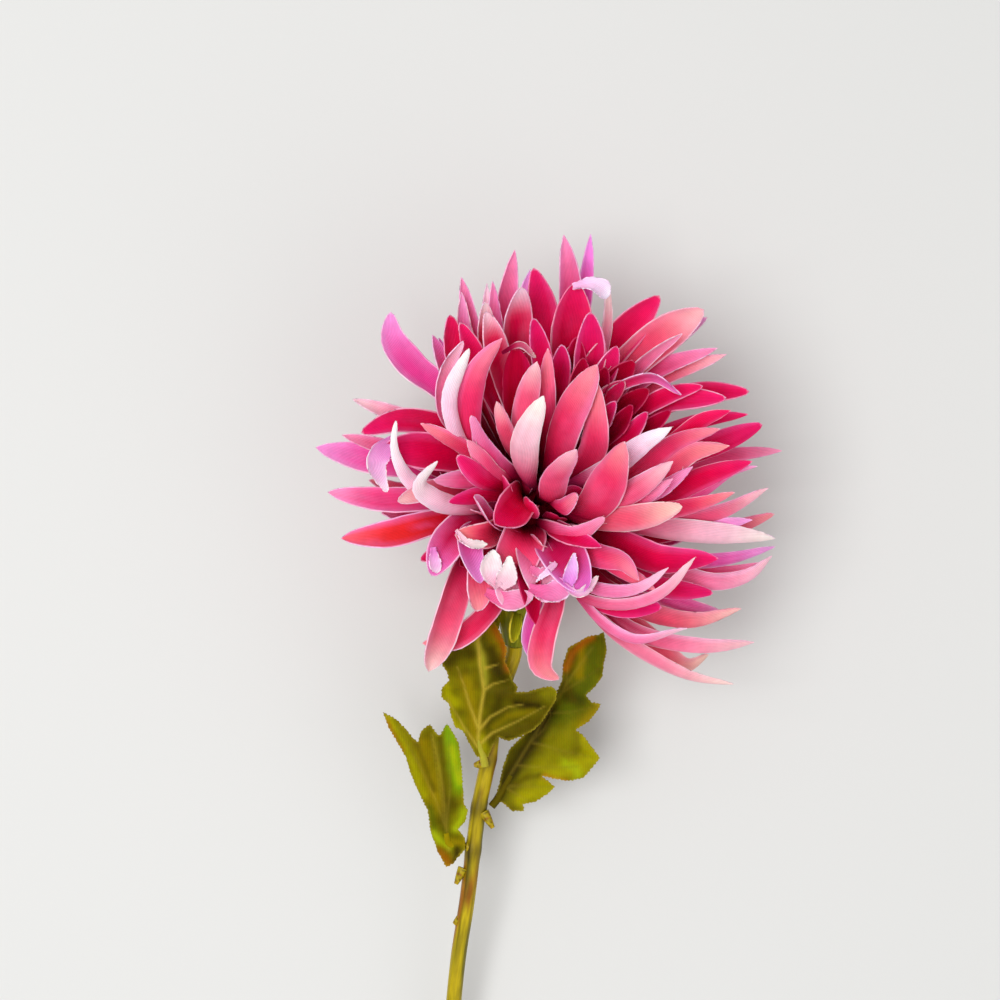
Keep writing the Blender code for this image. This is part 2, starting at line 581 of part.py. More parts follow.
def tube(name, points, radius, sides, box, end_radius=None):
    """A closed round tube along a smooth path, made as a bevelled curve."""
    curve = bpy.data.curves.new(name, "CURVE")
    curve.dimensions = "3D"
    curve.bevel_depth = radius * MM
    curve.bevel_resolution = max(0, (sides - 4) // 2)
    curve.use_fill_caps = True
    line = curve.splines.new("POLY")
    line.points.add(len(points) - 1)
    for i, point in enumerate(points):
        line.points[i].co = (*(to_row(point) * MM), 1.0)
        if end_radius is not None:
            share = i / (len(points) - 1)
            line.points[i].radius = 1 + (end_radius / radius - 1) * share
    thing = bpy.data.objects.new(name, curve)
    box.objects.link(thing)
    graph = bpy.context.evaluated_depsgraph_get()
    mesh = bpy.data.meshes.new_from_object(thing.evaluated_get(graph))
    bpy.data.objects.remove(thing, do_unlink=True)
    bm = bmesh.new()
    bm.from_mesh(mesh)
    bmesh.ops.remove_doubles(bm, verts=bm.verts, dist=SAME_PLACE)
    bm.to_mesh(mesh)
    bm.free()
    solid = bpy.data.objects.new(name, mesh)
    box.objects.link(solid)
    face_outward(solid)
    return solid


def photo_line(readings):
    """The places of some readings of the photo, each with its height."""
    return [photo_point(*reading) for reading in readings]


def make_stem(box):
    """The moulded stem with its nubs and the socket for the left leaf, its cut end on the table."""
    end = CALYX[-1][1]
    stations = [i / STEM_STEPS for i in range(STEM_STEPS + 1)]
    bent = smooth_path([NECK_AXIS * (end - STEM_START)] + photo_line(STEM_PATH), stations)
    stem = tube("stem", [NECK_AXIS * (end - GAP)] + bent, STEM_RADIUS, STEM_SIDES, box)
    for vert in stem.data.vertices:
        vert.co.z = max(vert.co.z, 0.0)
    nubs = new_collection("stem nubs")
    for i, nub in enumerate(NUBS):
        tube(f"nub {i}", photo_line((nub[:3], nub[3:])), NUB_RADIUS, 6, nubs, NUB_END_RADIUS)
    tube("socket", photo_line(SOCKET), SOCKET_RADIUS, 8, nubs)
    fuse(stem, nubs)
    colour(stem, "stem plastic", (0.42, 0.33, 0.02), 0.45)


def make_calyx(box):
    """The moulded cup under the bloom, with short sepals sunk into its side."""
    calyx = turned("calyx", CALYX, NECK_AXIS, CALYX_SIDES, box)
    sepals = new_collection("sepals")
    across = NECK_AXIS.cross(Vector((1, 0, 0))).normalized()
    for i in range(SEPALS):
        turn = mathutils.Quaternion(NECK_AXIS, math.tau * (i + SEPAL_TURN) / SEPALS)
        out = turn @ across
        path = [out * radius + NECK_AXIS * height for radius, height in SEPAL_PATH]
        blade(f"sepal {i}", path, SEPAL_WIDTH, 0, 0, sepals, 3)
    fuse(calyx, sepals)
    colour(calyx, "calyx plastic", (0.16, 0.15, 0.015), 0.5)


def nearest_on_line(line, spot):
    """Distance of a spot from a line of (across, down, height) points, the height there, the side."""
    best, gone = None, 0.0
    for a, b in zip(line, line[1:]):
        run = Vector((b[0] - a[0], b[1] - a[1]))
        off = Vector((spot[0] - a[0], spot[1] - a[1]))
        share = min(1.0, max(0.0, off.dot(run) / run.length_squared))
        gap = (off - run * share).length
        if best is None or gap < best[0]:
            side = 1.0 if run.x * off.y - run.y * off.x > 0 else -1.0
            best = (gap, a[2] + (b[2] - a[2]) * share, side)
    return best


def leaf_height(midrib, left, right, spot):
    """Height of a leaf at a reading of the photo, rising off its midrib on both sides."""
    gap, height, side = nearest_on_line(midrib, spot)
    return height + (right if side > 0 else left) * gap * PHOTO_UNIT


def make_leaf(name, outline, midrib, left, right, stalk, box):
    """A lobed blade, split alike on both faces, fused with its stalk."""
    points = [Vector(p) for p in outline] + [Vector(p[:2]) for p in midrib]
    ring = len(outline)
    edges = [(i, (i + 1) % ring) for i in range(ring)]
    edges += [(ring + i, ring + i + 1) for i in range(len(midrib) - 1)]
    flat, _, faces, _, _, _ = geometry.delaunay_2d_cdt(points, edges, [list(range(ring))], 1, 0.01)
    top, low, solid = [], [], []
    for spot in flat:
        place = to_row(photo_point(spot.x, spot.y, leaf_height(midrib, left, right, spot)))
        top.append(place + Vector((0, 0, LEAF_THICKNESS / 2)))
        low.append(place - Vector((0, 0, LEAF_THICKNESS / 2)))
    count = len(flat)
    border = {}
    for face in faces:
        face = list(face)
        solid += [face, [i + count for i in reversed(face)]]
        for a, b in zip(face, face[1:] + face[:1]):
            border[(a, b)] = border.get((a, b), 0) + 1
    for a, b in border:
        if (b, a) not in border:
            solid += [(b, a, a + count), (b, a + count, b + count)]
    leaf = add_object(name, top + low, solid, box)
    face_outward(leaf)
    stalks = new_collection(name + " stalk")
    tube(name + " stalk", photo_line(stalk), STALK_RADIUS, STALK_SIDES, stalks)
    fuse(leaf, stalks)
    colour(leaf, name + " cloth", (0.20, 0.19, 0.01), 0.7)


def main():
    wipe_scene()
    box = new_collection("chrysanthemum flower")
    make_bloom(box)
    make_calyx(box)
    make_stem(box)
    for name, (outline, midrib, left, right, stalk) in LEAVES.items():
        make_leaf(name, outline, midrib, left, right, stalk, box)


main()
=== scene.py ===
"""Looks of the chrysanthemum flower: cloth petals and leaves, moulded stem and cup, stage and camera.

Everything is in the row frame. Lengths in this script are millimetres until add_mesh writes them in
metres. The paths of the petals, the outlines of the leaves and the path of the stem are part.py's, and
so are the widths, apart from three that are up to 1.2 mm narrower here. A photo point is a place in
the photo's own thousand units, read across it and then down it.
"""
import math
import random

import bmesh
import bpy
import mathutils
import numpy as np
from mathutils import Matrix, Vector, geometry, noise


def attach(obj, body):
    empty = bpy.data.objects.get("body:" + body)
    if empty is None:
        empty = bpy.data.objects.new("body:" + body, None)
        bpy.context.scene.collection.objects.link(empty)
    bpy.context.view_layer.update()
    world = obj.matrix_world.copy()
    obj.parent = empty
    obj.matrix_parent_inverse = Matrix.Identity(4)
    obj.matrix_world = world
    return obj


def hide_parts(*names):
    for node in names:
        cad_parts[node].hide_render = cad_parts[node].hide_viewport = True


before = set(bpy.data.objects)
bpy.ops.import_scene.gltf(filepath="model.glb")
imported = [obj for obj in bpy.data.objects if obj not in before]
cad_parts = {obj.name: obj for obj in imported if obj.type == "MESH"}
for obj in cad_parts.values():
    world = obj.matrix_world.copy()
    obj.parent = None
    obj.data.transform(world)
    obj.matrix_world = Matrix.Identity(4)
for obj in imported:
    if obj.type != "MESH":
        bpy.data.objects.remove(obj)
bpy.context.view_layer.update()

MM = 0.001

# Driving dimensions shared with the solids, in millimetres unless said
PHOTO_UNIT = 0.283
PHOTO_MIDDLE = (500, 500)
CAMERA_HEIGHT = 500.0
CENTRE = (525, 515)
CENTRE_HEIGHT = 48.0
FLAT_SPOT = (22.9, 29.1)
BLOOM_AXIS = Vector((0.51, 0.68, 0.53)).normalized()
NEAR_SIDE = Vector((-0.32, -0.42, 0.85))
NECK_AXIS = Vector((0.07, 0.94, 0.33)).normalized()
FORM_CENTRE = (551, 460)
FORM_RADIUS = 230.0
FORM_BASE = 8.0
FORM_RISE = 42.0
ROOT_DEPTH = 11.0
FULLNESS = 1.08
FACING = 0.74
CURVE_STEPS = 16            # steps between two points of a smooth path
STEM_RADIUS = 2.35
STEM_START = 3.0            # straight piece of the stem under the calyx
STEM_PATH = ((513, 657, -14.2), (504, 683, -15.2), (495, 715, -17.0), (489, 757, -19.3),
             (479, 807, -22.0), (474, 844, -24.0), (467, 902, -27.2), (459, 953, -30.0),
             (452, 1020, -33.7), (442, 1130, -39.7), (433, 1240, -45.8))
GAP = 0.35                  # between the stem's top and the calyx
GROOVES = 9                 # fine flutes along the stem
GROOVE_DEPTH = 0.018        # as a share of its radius
STALK_RADIUS = 1.15
NUBS = ((484, 812, -21.0, 493, 828, -20.0), (483, 764, -19.0, 474, 765, -18.5),
        (463, 868, -24.5, 456, 884, -24.0), (462, 917, -28.0, 454, 924, -27.8))
NUB_RADIUS = 1.5
NUB_END_RADIUS = 0.6
SOCKET = ((474, 846, -24.0), (466.6, 846, -24.0))
SOCKET_RADIUS = 1.9
STEM_JOINTS = (0.075, 0.175, 0.255, 0.325)      # swellings, as shares of the stem's length
CALYX = ((0, -17.35), (7.6, -17.35), (8.4, -18.2), (7.2, -24.0), (5.6, -30.0), (4.3, -36.0),
         (3.1, -40.0), (0, -40.0))
SEPALS = 6
SEPAL_TURN = 0.87
SEPAL_WIDTH = 5.8
SEPAL_PATH = ((5.2, -25.0), (7.4, -28.5), (7.8, -32.5), (6.9, -36.0))
CORE = ((0, -17), (8, -17), (14, -12), (17, -3), (17, 5), (13.5, 13), (7, 18), (0, 19.5))
FILLERS = 90                # short petals that close the gaps round the cushion
FILLER_REACH = (24.0, 33.0)
FILLER_END = 128.0          # degrees from the top of the bloom where they end
FILLER_WIDTH = (5.5, 8.0)

# Finer make of the cloth, in millimetres unless said
CLOTH = 0.32                # thickness of petal cloth
LEAF_CLOTH = 0.45
SEPAL_CLOTH = 0.5
LEAF_STEP = 1.8             # spacing of a leaf's points, in photo units
LEAF_FRAY = 0.35            # how uneven its cut edge is, in photo units
TOOTH = 0.9                 # depth of the teeth of that edge, in photo units
VEIN_REACH = 1.7            # half width of a vein at its foot, in photo units
VEIN_RISE = 0.38            # rise of a vein, of the cloth between veins, of its waves, of its rim's
PILLOW_RISE = 0.5
WAVE_RISE = 0.9
RIM_RISE = 0.7
LEAF_BACK = 0.8             # how dark a leaf's underside is
SHARP_CLOTH = 40            # degrees between faces from which an edge is sharp
SHARP_MOULDED = 50
RINGS = 24                  # steps along a petal
CROWDING = 1.35             # how far those steps are crowded to its tip
ACROSS = np.array((-1.0, -0.96, -0.9, -0.7, -0.4, 0.0, 0.4, 0.7, 0.9, 0.96, 1.0))
SEED = 11
LOOK_SEED = 5
PAINT = "cloth_colour"      # names of the colour and of the map in mm that each piece carries
PAINT_MAP = "cloth_map"

# Petal colours as (root, body, tip, margin), in display values from 0 to 255
LOOKS = {
    "c": ((146, 0, 36), (216, 4, 70), (232, 36, 106), (242, 100, 158)),
    # d: dark crimson, a darker copy of c, partly painted shade for petals deep in the bloom
    "d": ((56, 0, 8), (132, 0, 26), (176, 4, 52), (200, 26, 88)),
    "f": ((150, 0, 40), (222, 20, 78), (255, 240, 234), (252, 196, 204)),
    "k": ((176, 4, 60), (232, 62, 102), (252, 164, 160), (247, 148, 180)),
    "s": ((182, 8, 66), (239, 98, 122), (255, 214, 200), (250, 176, 192)),
    "w": ((198, 16, 88), (245, 134, 166), (255, 238, 230), (252, 212, 228)),
    "v": ((222, 60, 116), (255, 206, 216), (255, 249, 238), (255, 230, 238)),
    "r": ((190, 18, 80), (243, 138, 166), (254, 222, 220), (252, 206, 226)),
    "l": ((180, 4, 84), (230, 92, 166), (242, 174, 226), (246, 196, 238)),
    "m": ((150, 0, 46), (204, 26, 84), (230, 130, 196), (244, 176, 230)),
    "p": ((172, 0, 64), (234, 82, 130), (248, 166, 192), (247, 172, 212)),
    "g": ((112, 112, 6), (152, 148, 10), (196, 186, 26), (214, 204, 60)),
    "o": ((180, 2, 40), (230, 62, 48), (240, 120, 120), (240, 168, 230)),
    "x": ((252, 206, 220), (255, 236, 238), (255, 250, 246), (255, 240, 248)),
    "z": ((240, 130, 164), (250, 168, 192), (252, 196, 214), (255, 222, 234)),
    "y": ((232, 160, 220), (246, 206, 244), (252, 232, 250), (252, 232, 252)),
}
TIP_START = {"f": 0.82}     # share of the length where the tip's colour starts
TIP_STARTS_ELSEWHERE = (0.6, 0.74)
UNSHADED = "xyz"            # looks of torn and folded tips, which have no dark root of dye and painted shade
UNDER_LOOKS = "ckpms"       # looks drawn for hidden petals, for those it rests on and for fillers
REST_LOOKS = "kpc"
FILLER_LOOKS = "ddcck"
CUT_EDGE = (255, 238, 242)
EDGE_SHARE = {"c": 0.5, "d": 0.1, "g": 0.0}      # how far a cut edge turns to that pale colour
EDGE_SHARE_ELSEWHERE = 0.65
ROOT_DYE_AND_SHADE = 0.42           # how dark petals are where they meet: deep dye and painted shade between them
DYE_DEPTH = (-0.07, 0.34, 0.05)             # how far strong dye loses red, green and blue
GREEN_LOOK = "g"            # the sepals' look, which has no red dye to deepen
ROOT_FADE = ((0.15, 0.3), (0.6, 0.74))      # where along a petal the root's dye fades and is gone
STREAK_DRAW = (0.93, 1.05)  # tone of a lengthwise streak, and of a whole petal's red, green and blue
TONE_DRAWS = ((0.94, 1.05), (0.86, 1.08), (0.88, 1.14))
CUT_SIDE = (0.92, 0.97)     # where the pale cut edge starts and is full: across and at the tip
CUT_TIP = (0.985, 1.0)
LEAF_TONE = (0.8, 0.8, 0.55)                # depth of the leaves' dye and of the stem's
STEM_TONE = (0.9, 0.88, 0.6)
FORM_STATIONS = (0.0, 0.15, 0.3, 0.45, 0.6, 0.75, 0.87, 0.95, 1.0)
FORM_WIDTHS = {
    "lens": (0.36, 0.52, 0.74, 0.92, 1.0, 0.92, 0.66, 0.38, 0.20),
    "spoon": (0.30, 0.42, 0.60, 0.80, 0.95, 1.0, 0.98, 0.92, 0.86),
    "bowl": (0.45, 0.62, 0.80, 0.93, 1.0, 1.0, 1.0, 1.0, 1.0),
    "drop": (0.50, 0.84, 1.0, 0.94, 0.78, 0.55, 0.34, 0.22, 0.16),
}
# Share of the length that is rounded off at the tip, and how far that end is pointed instead
TIP_ROUNDING = {"lens": 0.07, "spoon": 0.26, "bowl": 0.34, "drop": 0.04}
TIP_POINT = {"lens": 0.6, "spoon": 0.22, "bowl": 0.12, "drop": 0.5}
TIP_REACH = 1.06            # where a pointed end would meet, in rounded lengths
LEAST_HALF = 0.008          # half width of the tip's last point, as a share
# Draws for a petal: cup across it, bend of its tip off and along the cloth, waves, phases
CUP_DRAW = (0.75, 1.15)
HOOK_DRAW = (-0.02, 0.05)
SKEW_DRAW = (-0.035, 0.035)
SIDE_WAVES = (9, 14)
EDGE_WAVES = (5, 9)
PHASES = (0, 6)
CORE_SHARE = 0.66           # the dressed cushion as a share of the solid one
FRAY = 0.1                  # how uneven a cut edge is, in millimetres
TORN_FRAY = 0.26            # the same for torn tips
DYE_PATCH = 0.22            # how far uneven dye turns a petal towards its margin's colour

# Torn and folded tips: (look, form, width, photo points with heights over the bloom's centre)
FLAPS = (
    ("x", "lens", 6.4, ((499, 587, 34.2), (491, 576, 34.6), (493, 550, 35.2))),
    ("x", "drop", 6.2, ((500, 587, 34.2), (506, 577, 34.8), (510, 556, 35.4))),
    ("x", "spoon", 5.4, ((573, 287, 31.4), (590, 284, 33.5), (609, 295, 30.5))),
    ("y", "drop", 6.4, ((394, 440, 33.4), (377, 458, 35.0), (386, 492, 31.0))),
    ("y", "drop", 4.4, ((567, 586, 34.6), (571, 571, 34.8), (574, 553, 35.4))),
    ("y", "lens", 2.6, ((558, 578, 35.0), (576, 594, 35.2), (599, 577, 31.0))),
    ("y", "lens", 3.6, ((433, 547, 31.8), (434, 560, 31.6), (437, 573, 31.0))),
    ("x", "lens", 2.6, ((456, 530, 35.4), (466, 542, 34.8), (487, 545, 32.2))),
    ("r", "lens", 2.2, ((502, 353, 40.4), (517, 345, 38.0), (535, 358, 31.4))),
    ("z", "lens", 6.0, ((486, 592, 31.0), (509, 601, 33.4), (534, 595, 34.0))),
    ("z", "lens", 6.6, ((529, 588, 34.0), (549, 593, 34.2), (574, 582, 33.8))),
    ("z", "drop", 3.0, ((530, 568, 32.2), (541, 573, 33.0), (551, 562, 33.4))),
    ("x", "drop", 1.8, ((556, 563, 33.6), (548, 571, 35.2), (536, 581, 33.4))),
)
THREADS = 36
THREAD_PETAL = 26.0         # loose threads stand on petals longer than this
THREAD_LENGTH = (0.4, 1.0)
THREAD_FEET = (0, 1, 2, 3, 4)       # rings back from the tip where they start
THREAD_SIDES = 3
THREAD_RADIUS = 0.06
THREAD_RINGS = 6
# the cushion's dark crimson, darkened as painted shade between the petals' roots
CORE_DARK = (70, 0, 12)
CORE_RED = (130, 0, 26)
OLIVE = (142, 136, 6)
# dark olive dye, and also painted shade in the leaves' folds
DARK_OLIVE_AND_SHADE = (92, 80, 4)
MUSTARD = (156, 136, 6)
YELLOW = (172, 166, 4)
# bright lime dye, and the painted highlight on the left leaf's bright fold
LIME_AND_HIGHLIGHT = (176, 190, 20)
BRIGHT = (134, 174, 16)
STRAW = (176, 170, 52)
# painted shade on the leaves and leaf_right's stalk: under lobes and petals, in folds, along a midrib
PAINTED_SHADE = (44, 34, 2)
RUST = (178, 98, 12)
GREEN = (96, 108, 6)
VEIN = (208, 182, 72)
# The two colours of each leaf's stalk, leaf_right's dark with painted shade
STALKS = {
    "leaf_left": (YELLOW, MUSTARD),
    "leaf_front": (VEIN, STRAW),
    "leaf_right": (PAINTED_SHADE, DARK_OLIVE_AND_SHADE),
}
LEAF_EDGE = (196, 176, 60)
STEM_YELLOW = (190, 168, 14)
STEM_RUST = (158, 96, 14)
STEM_GREEN = (96, 94, 6)
STEM_DARK = (58, 44, 4)

# Stage: floor, room light, and each lamp's place and size in metres and power in watts
FLOOR_SIZE = 6.0
FLOOR_TONE = (216, 216, 214)
ROOM_LIGHT = 0.5
LAMPS = {"window": ((-0.42, -0.04, 1.25), 0.7, 12.0), "fill": ((0.7, -0.6, 1.0), 1.2, 3.0)}

# Leaves, read off the photo: the outline, the midrib with its heights over the bloom's centre, the
# rise of the blade to the left and right of it, and the stalk
LEAVES = {
    "leaf_left": (
        (437, 850, 430, 830, 428, 811, 420, 795, 411, 775, 406, 757, 396, 740,
         388, 726, 383, 712, 396, 719, 406, 729, 413, 738, 418, 742, 421, 731,
         430, 724, 437, 734, 440, 735, 447, 723, 453, 732, 459, 744, 461, 760,
         463, 785, 464, 803, 468, 811, 465, 822, 458, 829, 465, 838, 465, 850, 458, 857,
         453, 864, 446, 867),
        ((449, 850, -23.5), (446, 825, -21.0), (443, 790, -18.0), (438, 760, -16.0),
         (432, 735, -15.5)), 0.22, 0.2,
        ((465.2, 845, -24.1), (457, 845, -23.6), (449, 843, -22.9), (446, 832, -21.9))),
    "leaf_front": (
        (477, 757, 470, 745, 463, 731, 455, 727, 451, 716, 449, 704, 441, 697,
         442, 687, 449, 681, 447, 672, 441, 663, 446, 650, 453, 645, 462, 648,
         470, 634, 480, 620, 489, 613, 496, 624, 502, 636, 507, 648, 505, 662,
         510, 671, 513, 681, 518, 687, 516, 692, 527, 692, 540, 688, 551, 686,
         557, 691, 556, 700, 549, 711, 543, 721, 534, 730, 520, 737, 508, 741,
         498, 737, 493, 746, 488, 757),
        ((483, 757, -15.6), (478, 740, -13.5), (480, 715, -10.5), (484, 690, -8.0),
         (480, 665, -6.0), (478, 640, -4.5), (486, 620, -3.5)), 0.16, 0.12,
        ((485.2, 766, -16.2), (484, 760, -15.9), (480, 748, -14.9), (478, 738, -13.9))),
    "leaf_right": (
        (495, 800, 499, 785, 503, 766, 509, 750, 519, 739, 533, 727, 545, 712,
         556, 694, 562, 680, 563, 664, 568, 648, 578, 642, 588, 636, 597, 635,
         604, 632, 607, 650, 604, 664, 602, 677, 595, 687, 586, 695, 591, 702,
         601, 704, 596, 713, 588, 722, 576, 730, 583, 735, 592, 747, 600, 758,
         592, 768, 583, 778, 569, 781, 556, 779, 542, 776, 555, 787, 546, 795,
         535, 802, 523, 804, 524, 811, 512, 811, 503, 803),
        ((499, 797, -22.0), (510, 775, -22.0), (526, 749, -21.0), (548, 713, -19.0),
         (569, 680, -16.5), (592, 648, -14.5)), 0.25, 0.16,
        ((491.5, 806.5, -21.6), (496, 801, -21.8), (504, 787, -22.2), (511, 775, -22.2))),
}

# Veins beside the midrib, each a line of photo points
LEAF_VEINS = {
    "leaf_left": ((446, 828, 436, 800, 420, 765, 398, 728), (446, 828, 440, 790, 431, 735),
                  (446, 828, 450, 790, 449, 733), (436, 800, 424, 775, 410, 748)),
    "leaf_front": ((479, 730, 469, 703, 463, 682, 457, 667), (478, 747, 464, 727, 447, 698),
                   (479, 730, 490, 717, 508, 707, 524, 704), (480, 744, 492, 733, 518, 721, 545, 706),
                   (484, 690, 493, 684, 508, 680), (486, 668, 492, 666, 499, 664)),
    "leaf_right": ((503, 786, 520, 796, 530, 801), (503, 786, 525, 786, 550, 787),
                   (516, 765, 545, 768, 578, 766), (530, 742, 560, 750, 592, 757),
                   (548, 713, 572, 712, 596, 706), (562, 692, 582, 680, 600, 668),
                   (566, 685, 568, 664, 574, 648), (530, 742, 545, 728, 552, 712)),
}

# Painted shade of a leaf to the left and right of its midrib, for a half folded away from the light
PAINTED_LEAF_SHADE = {"leaf_left": (1.0, 1.0), "leaf_front": (1.0, 0.68), "leaf_right": (0.5, 1.0)}

# How much paler the veins are than the cloth
VEIN_SHARE = {"leaf_left": 0.22, "leaf_front": 0.78, "leaf_right": 0.16}

# Tints of the leaves, dye and, in the darkest, painted shade: (colour, share, reach, line of photo
# points), later ones on top
LEAF_TINTS = {
    "leaf_left": (
        (MUSTARD, 0.9, 10, (422, 745, 430, 775, 438, 805)),
        (YELLOW, 0.9, 5, (388, 719, 402, 738, 414, 768, 424, 795)),
        (DARK_OLIVE_AND_SHADE, 0.6, 3, (417, 744, 425, 765, 434, 790)),
        (RUST, 0.8, 3.5, (386, 722, 393, 737, 401, 752)),
        (BRIGHT, 1.0, 8, (449, 728, 454, 755, 459, 785)),
        # painted highlight along the left leaf's bright fold
        (LIME_AND_HIGHLIGHT, 0.9, 4, (452, 748, 456, 768, 460, 782)),
        (DARK_OLIVE_AND_SHADE, 0.7, 3, (440, 738, 443, 765, 445, 800)),
        (PAINTED_SHADE, 0.55, 7, (450, 800, 446, 815, 445, 828)),
        (GREEN, 0.7, 4, (430, 808, 433, 825, 436, 836)),
        (LIME_AND_HIGHLIGHT, 0.9, 5, (464, 811, 461, 820, 456, 828)),
        (LIME_AND_HIGHLIGHT, 0.9, 4.5, (433, 834, 440, 841, 449, 846)),
        (MUSTARD, 0.9, 4, (452, 842, 460, 843, 466, 843)),
        (RUST, 0.7, 6, (439, 852, 446, 860, 450, 866)),
        (PAINTED_SHADE, 0.8, 4, (457, 849, 457, 856, 455, 861)),
    ),
    "leaf_front": (
        (MUSTARD, 0.9, 7, (466, 680, 472, 705, 476, 735)),
        (PAINTED_SHADE, 0.6, 7, (450, 660, 458, 656, 468, 652)),
        (MUSTARD, 0.9, 8, (486, 622, 494, 634, 498, 648)),
        (RUST, 0.95, 5, (496, 630, 503, 642, 507, 656, 508, 668)),
        (PAINTED_SHADE, 0.75, 8, (492, 650, 496, 664, 502, 678)),
        (STRAW, 0.85, 3.5, (475, 638, 481, 652, 484, 668, 485, 684)),
        (YELLOW, 1.0, 6, (445, 686, 448, 695, 455, 703)),
        (YELLOW, 0.8, 4, (451, 716, 455, 725, 462, 730)),
        (DARK_OLIVE_AND_SHADE, 0.8, 8, (500, 693, 515, 697, 535, 696)),
        (PAINTED_SHADE, 0.9, 4, (516, 703, 528, 705, 538, 706)),
        (PAINTED_SHADE, 0.55, 6, (500, 700, 496, 712, 489, 722)),
        (MUSTARD, 0.5, 3.5, (494, 727, 508, 716, 534, 711)),
        (DARK_OLIVE_AND_SHADE, 0.85, 7, (495, 738, 515, 732, 545, 716)),
        (OLIVE, 0.8, 6, (545, 694, 552, 691, 556, 694)),
        (YELLOW, 0.7, 5, (482, 756, 483, 748, 481, 738)),
    ),
    "leaf_right": (
        (GREEN, 0.9, 16, (592, 648, 585, 690, 560, 715)),
        (OLIVE, 0.9, 13, (570, 735, 550, 755, 525, 780)),
        (PAINTED_SHADE, 0.95, 9, (497, 797, 512, 773, 530, 746, 550, 710)),
        (PAINTED_SHADE, 0.6, 8, (560, 686, 568, 696, 580, 700)),
        (MUSTARD, 0.95, 5, (580, 645, 582, 658, 579, 675)),
        (RUST, 0.95, 4.5, (566, 668, 572, 653, 584, 641, 592, 637)),
        (DARK_OLIVE_AND_SHADE, 0.7, 4, (565, 682, 569, 690, 572, 700)),
        (MUSTARD, 0.9, 5, (598, 705, 592, 714, 580, 726)),
        (YELLOW, 1.0, 10, (548, 774, 570, 770, 594, 758)),
        (YELLOW, 0.9, 6, (584, 740, 592, 750, 598, 758)),
        (LIME_AND_HIGHLIGHT, 0.75, 5, (565, 763, 575, 768, 578, 775)),
        (YELLOW, 1.0, 8, (520, 800, 535, 793, 552, 788)),
        (DARK_OLIVE_AND_SHADE, 0.6, 3.5, (512, 788, 525, 778, 540, 775)),
        (RUST, 0.7, 3, (545, 776, 556, 780, 566, 781)),
    ),
}

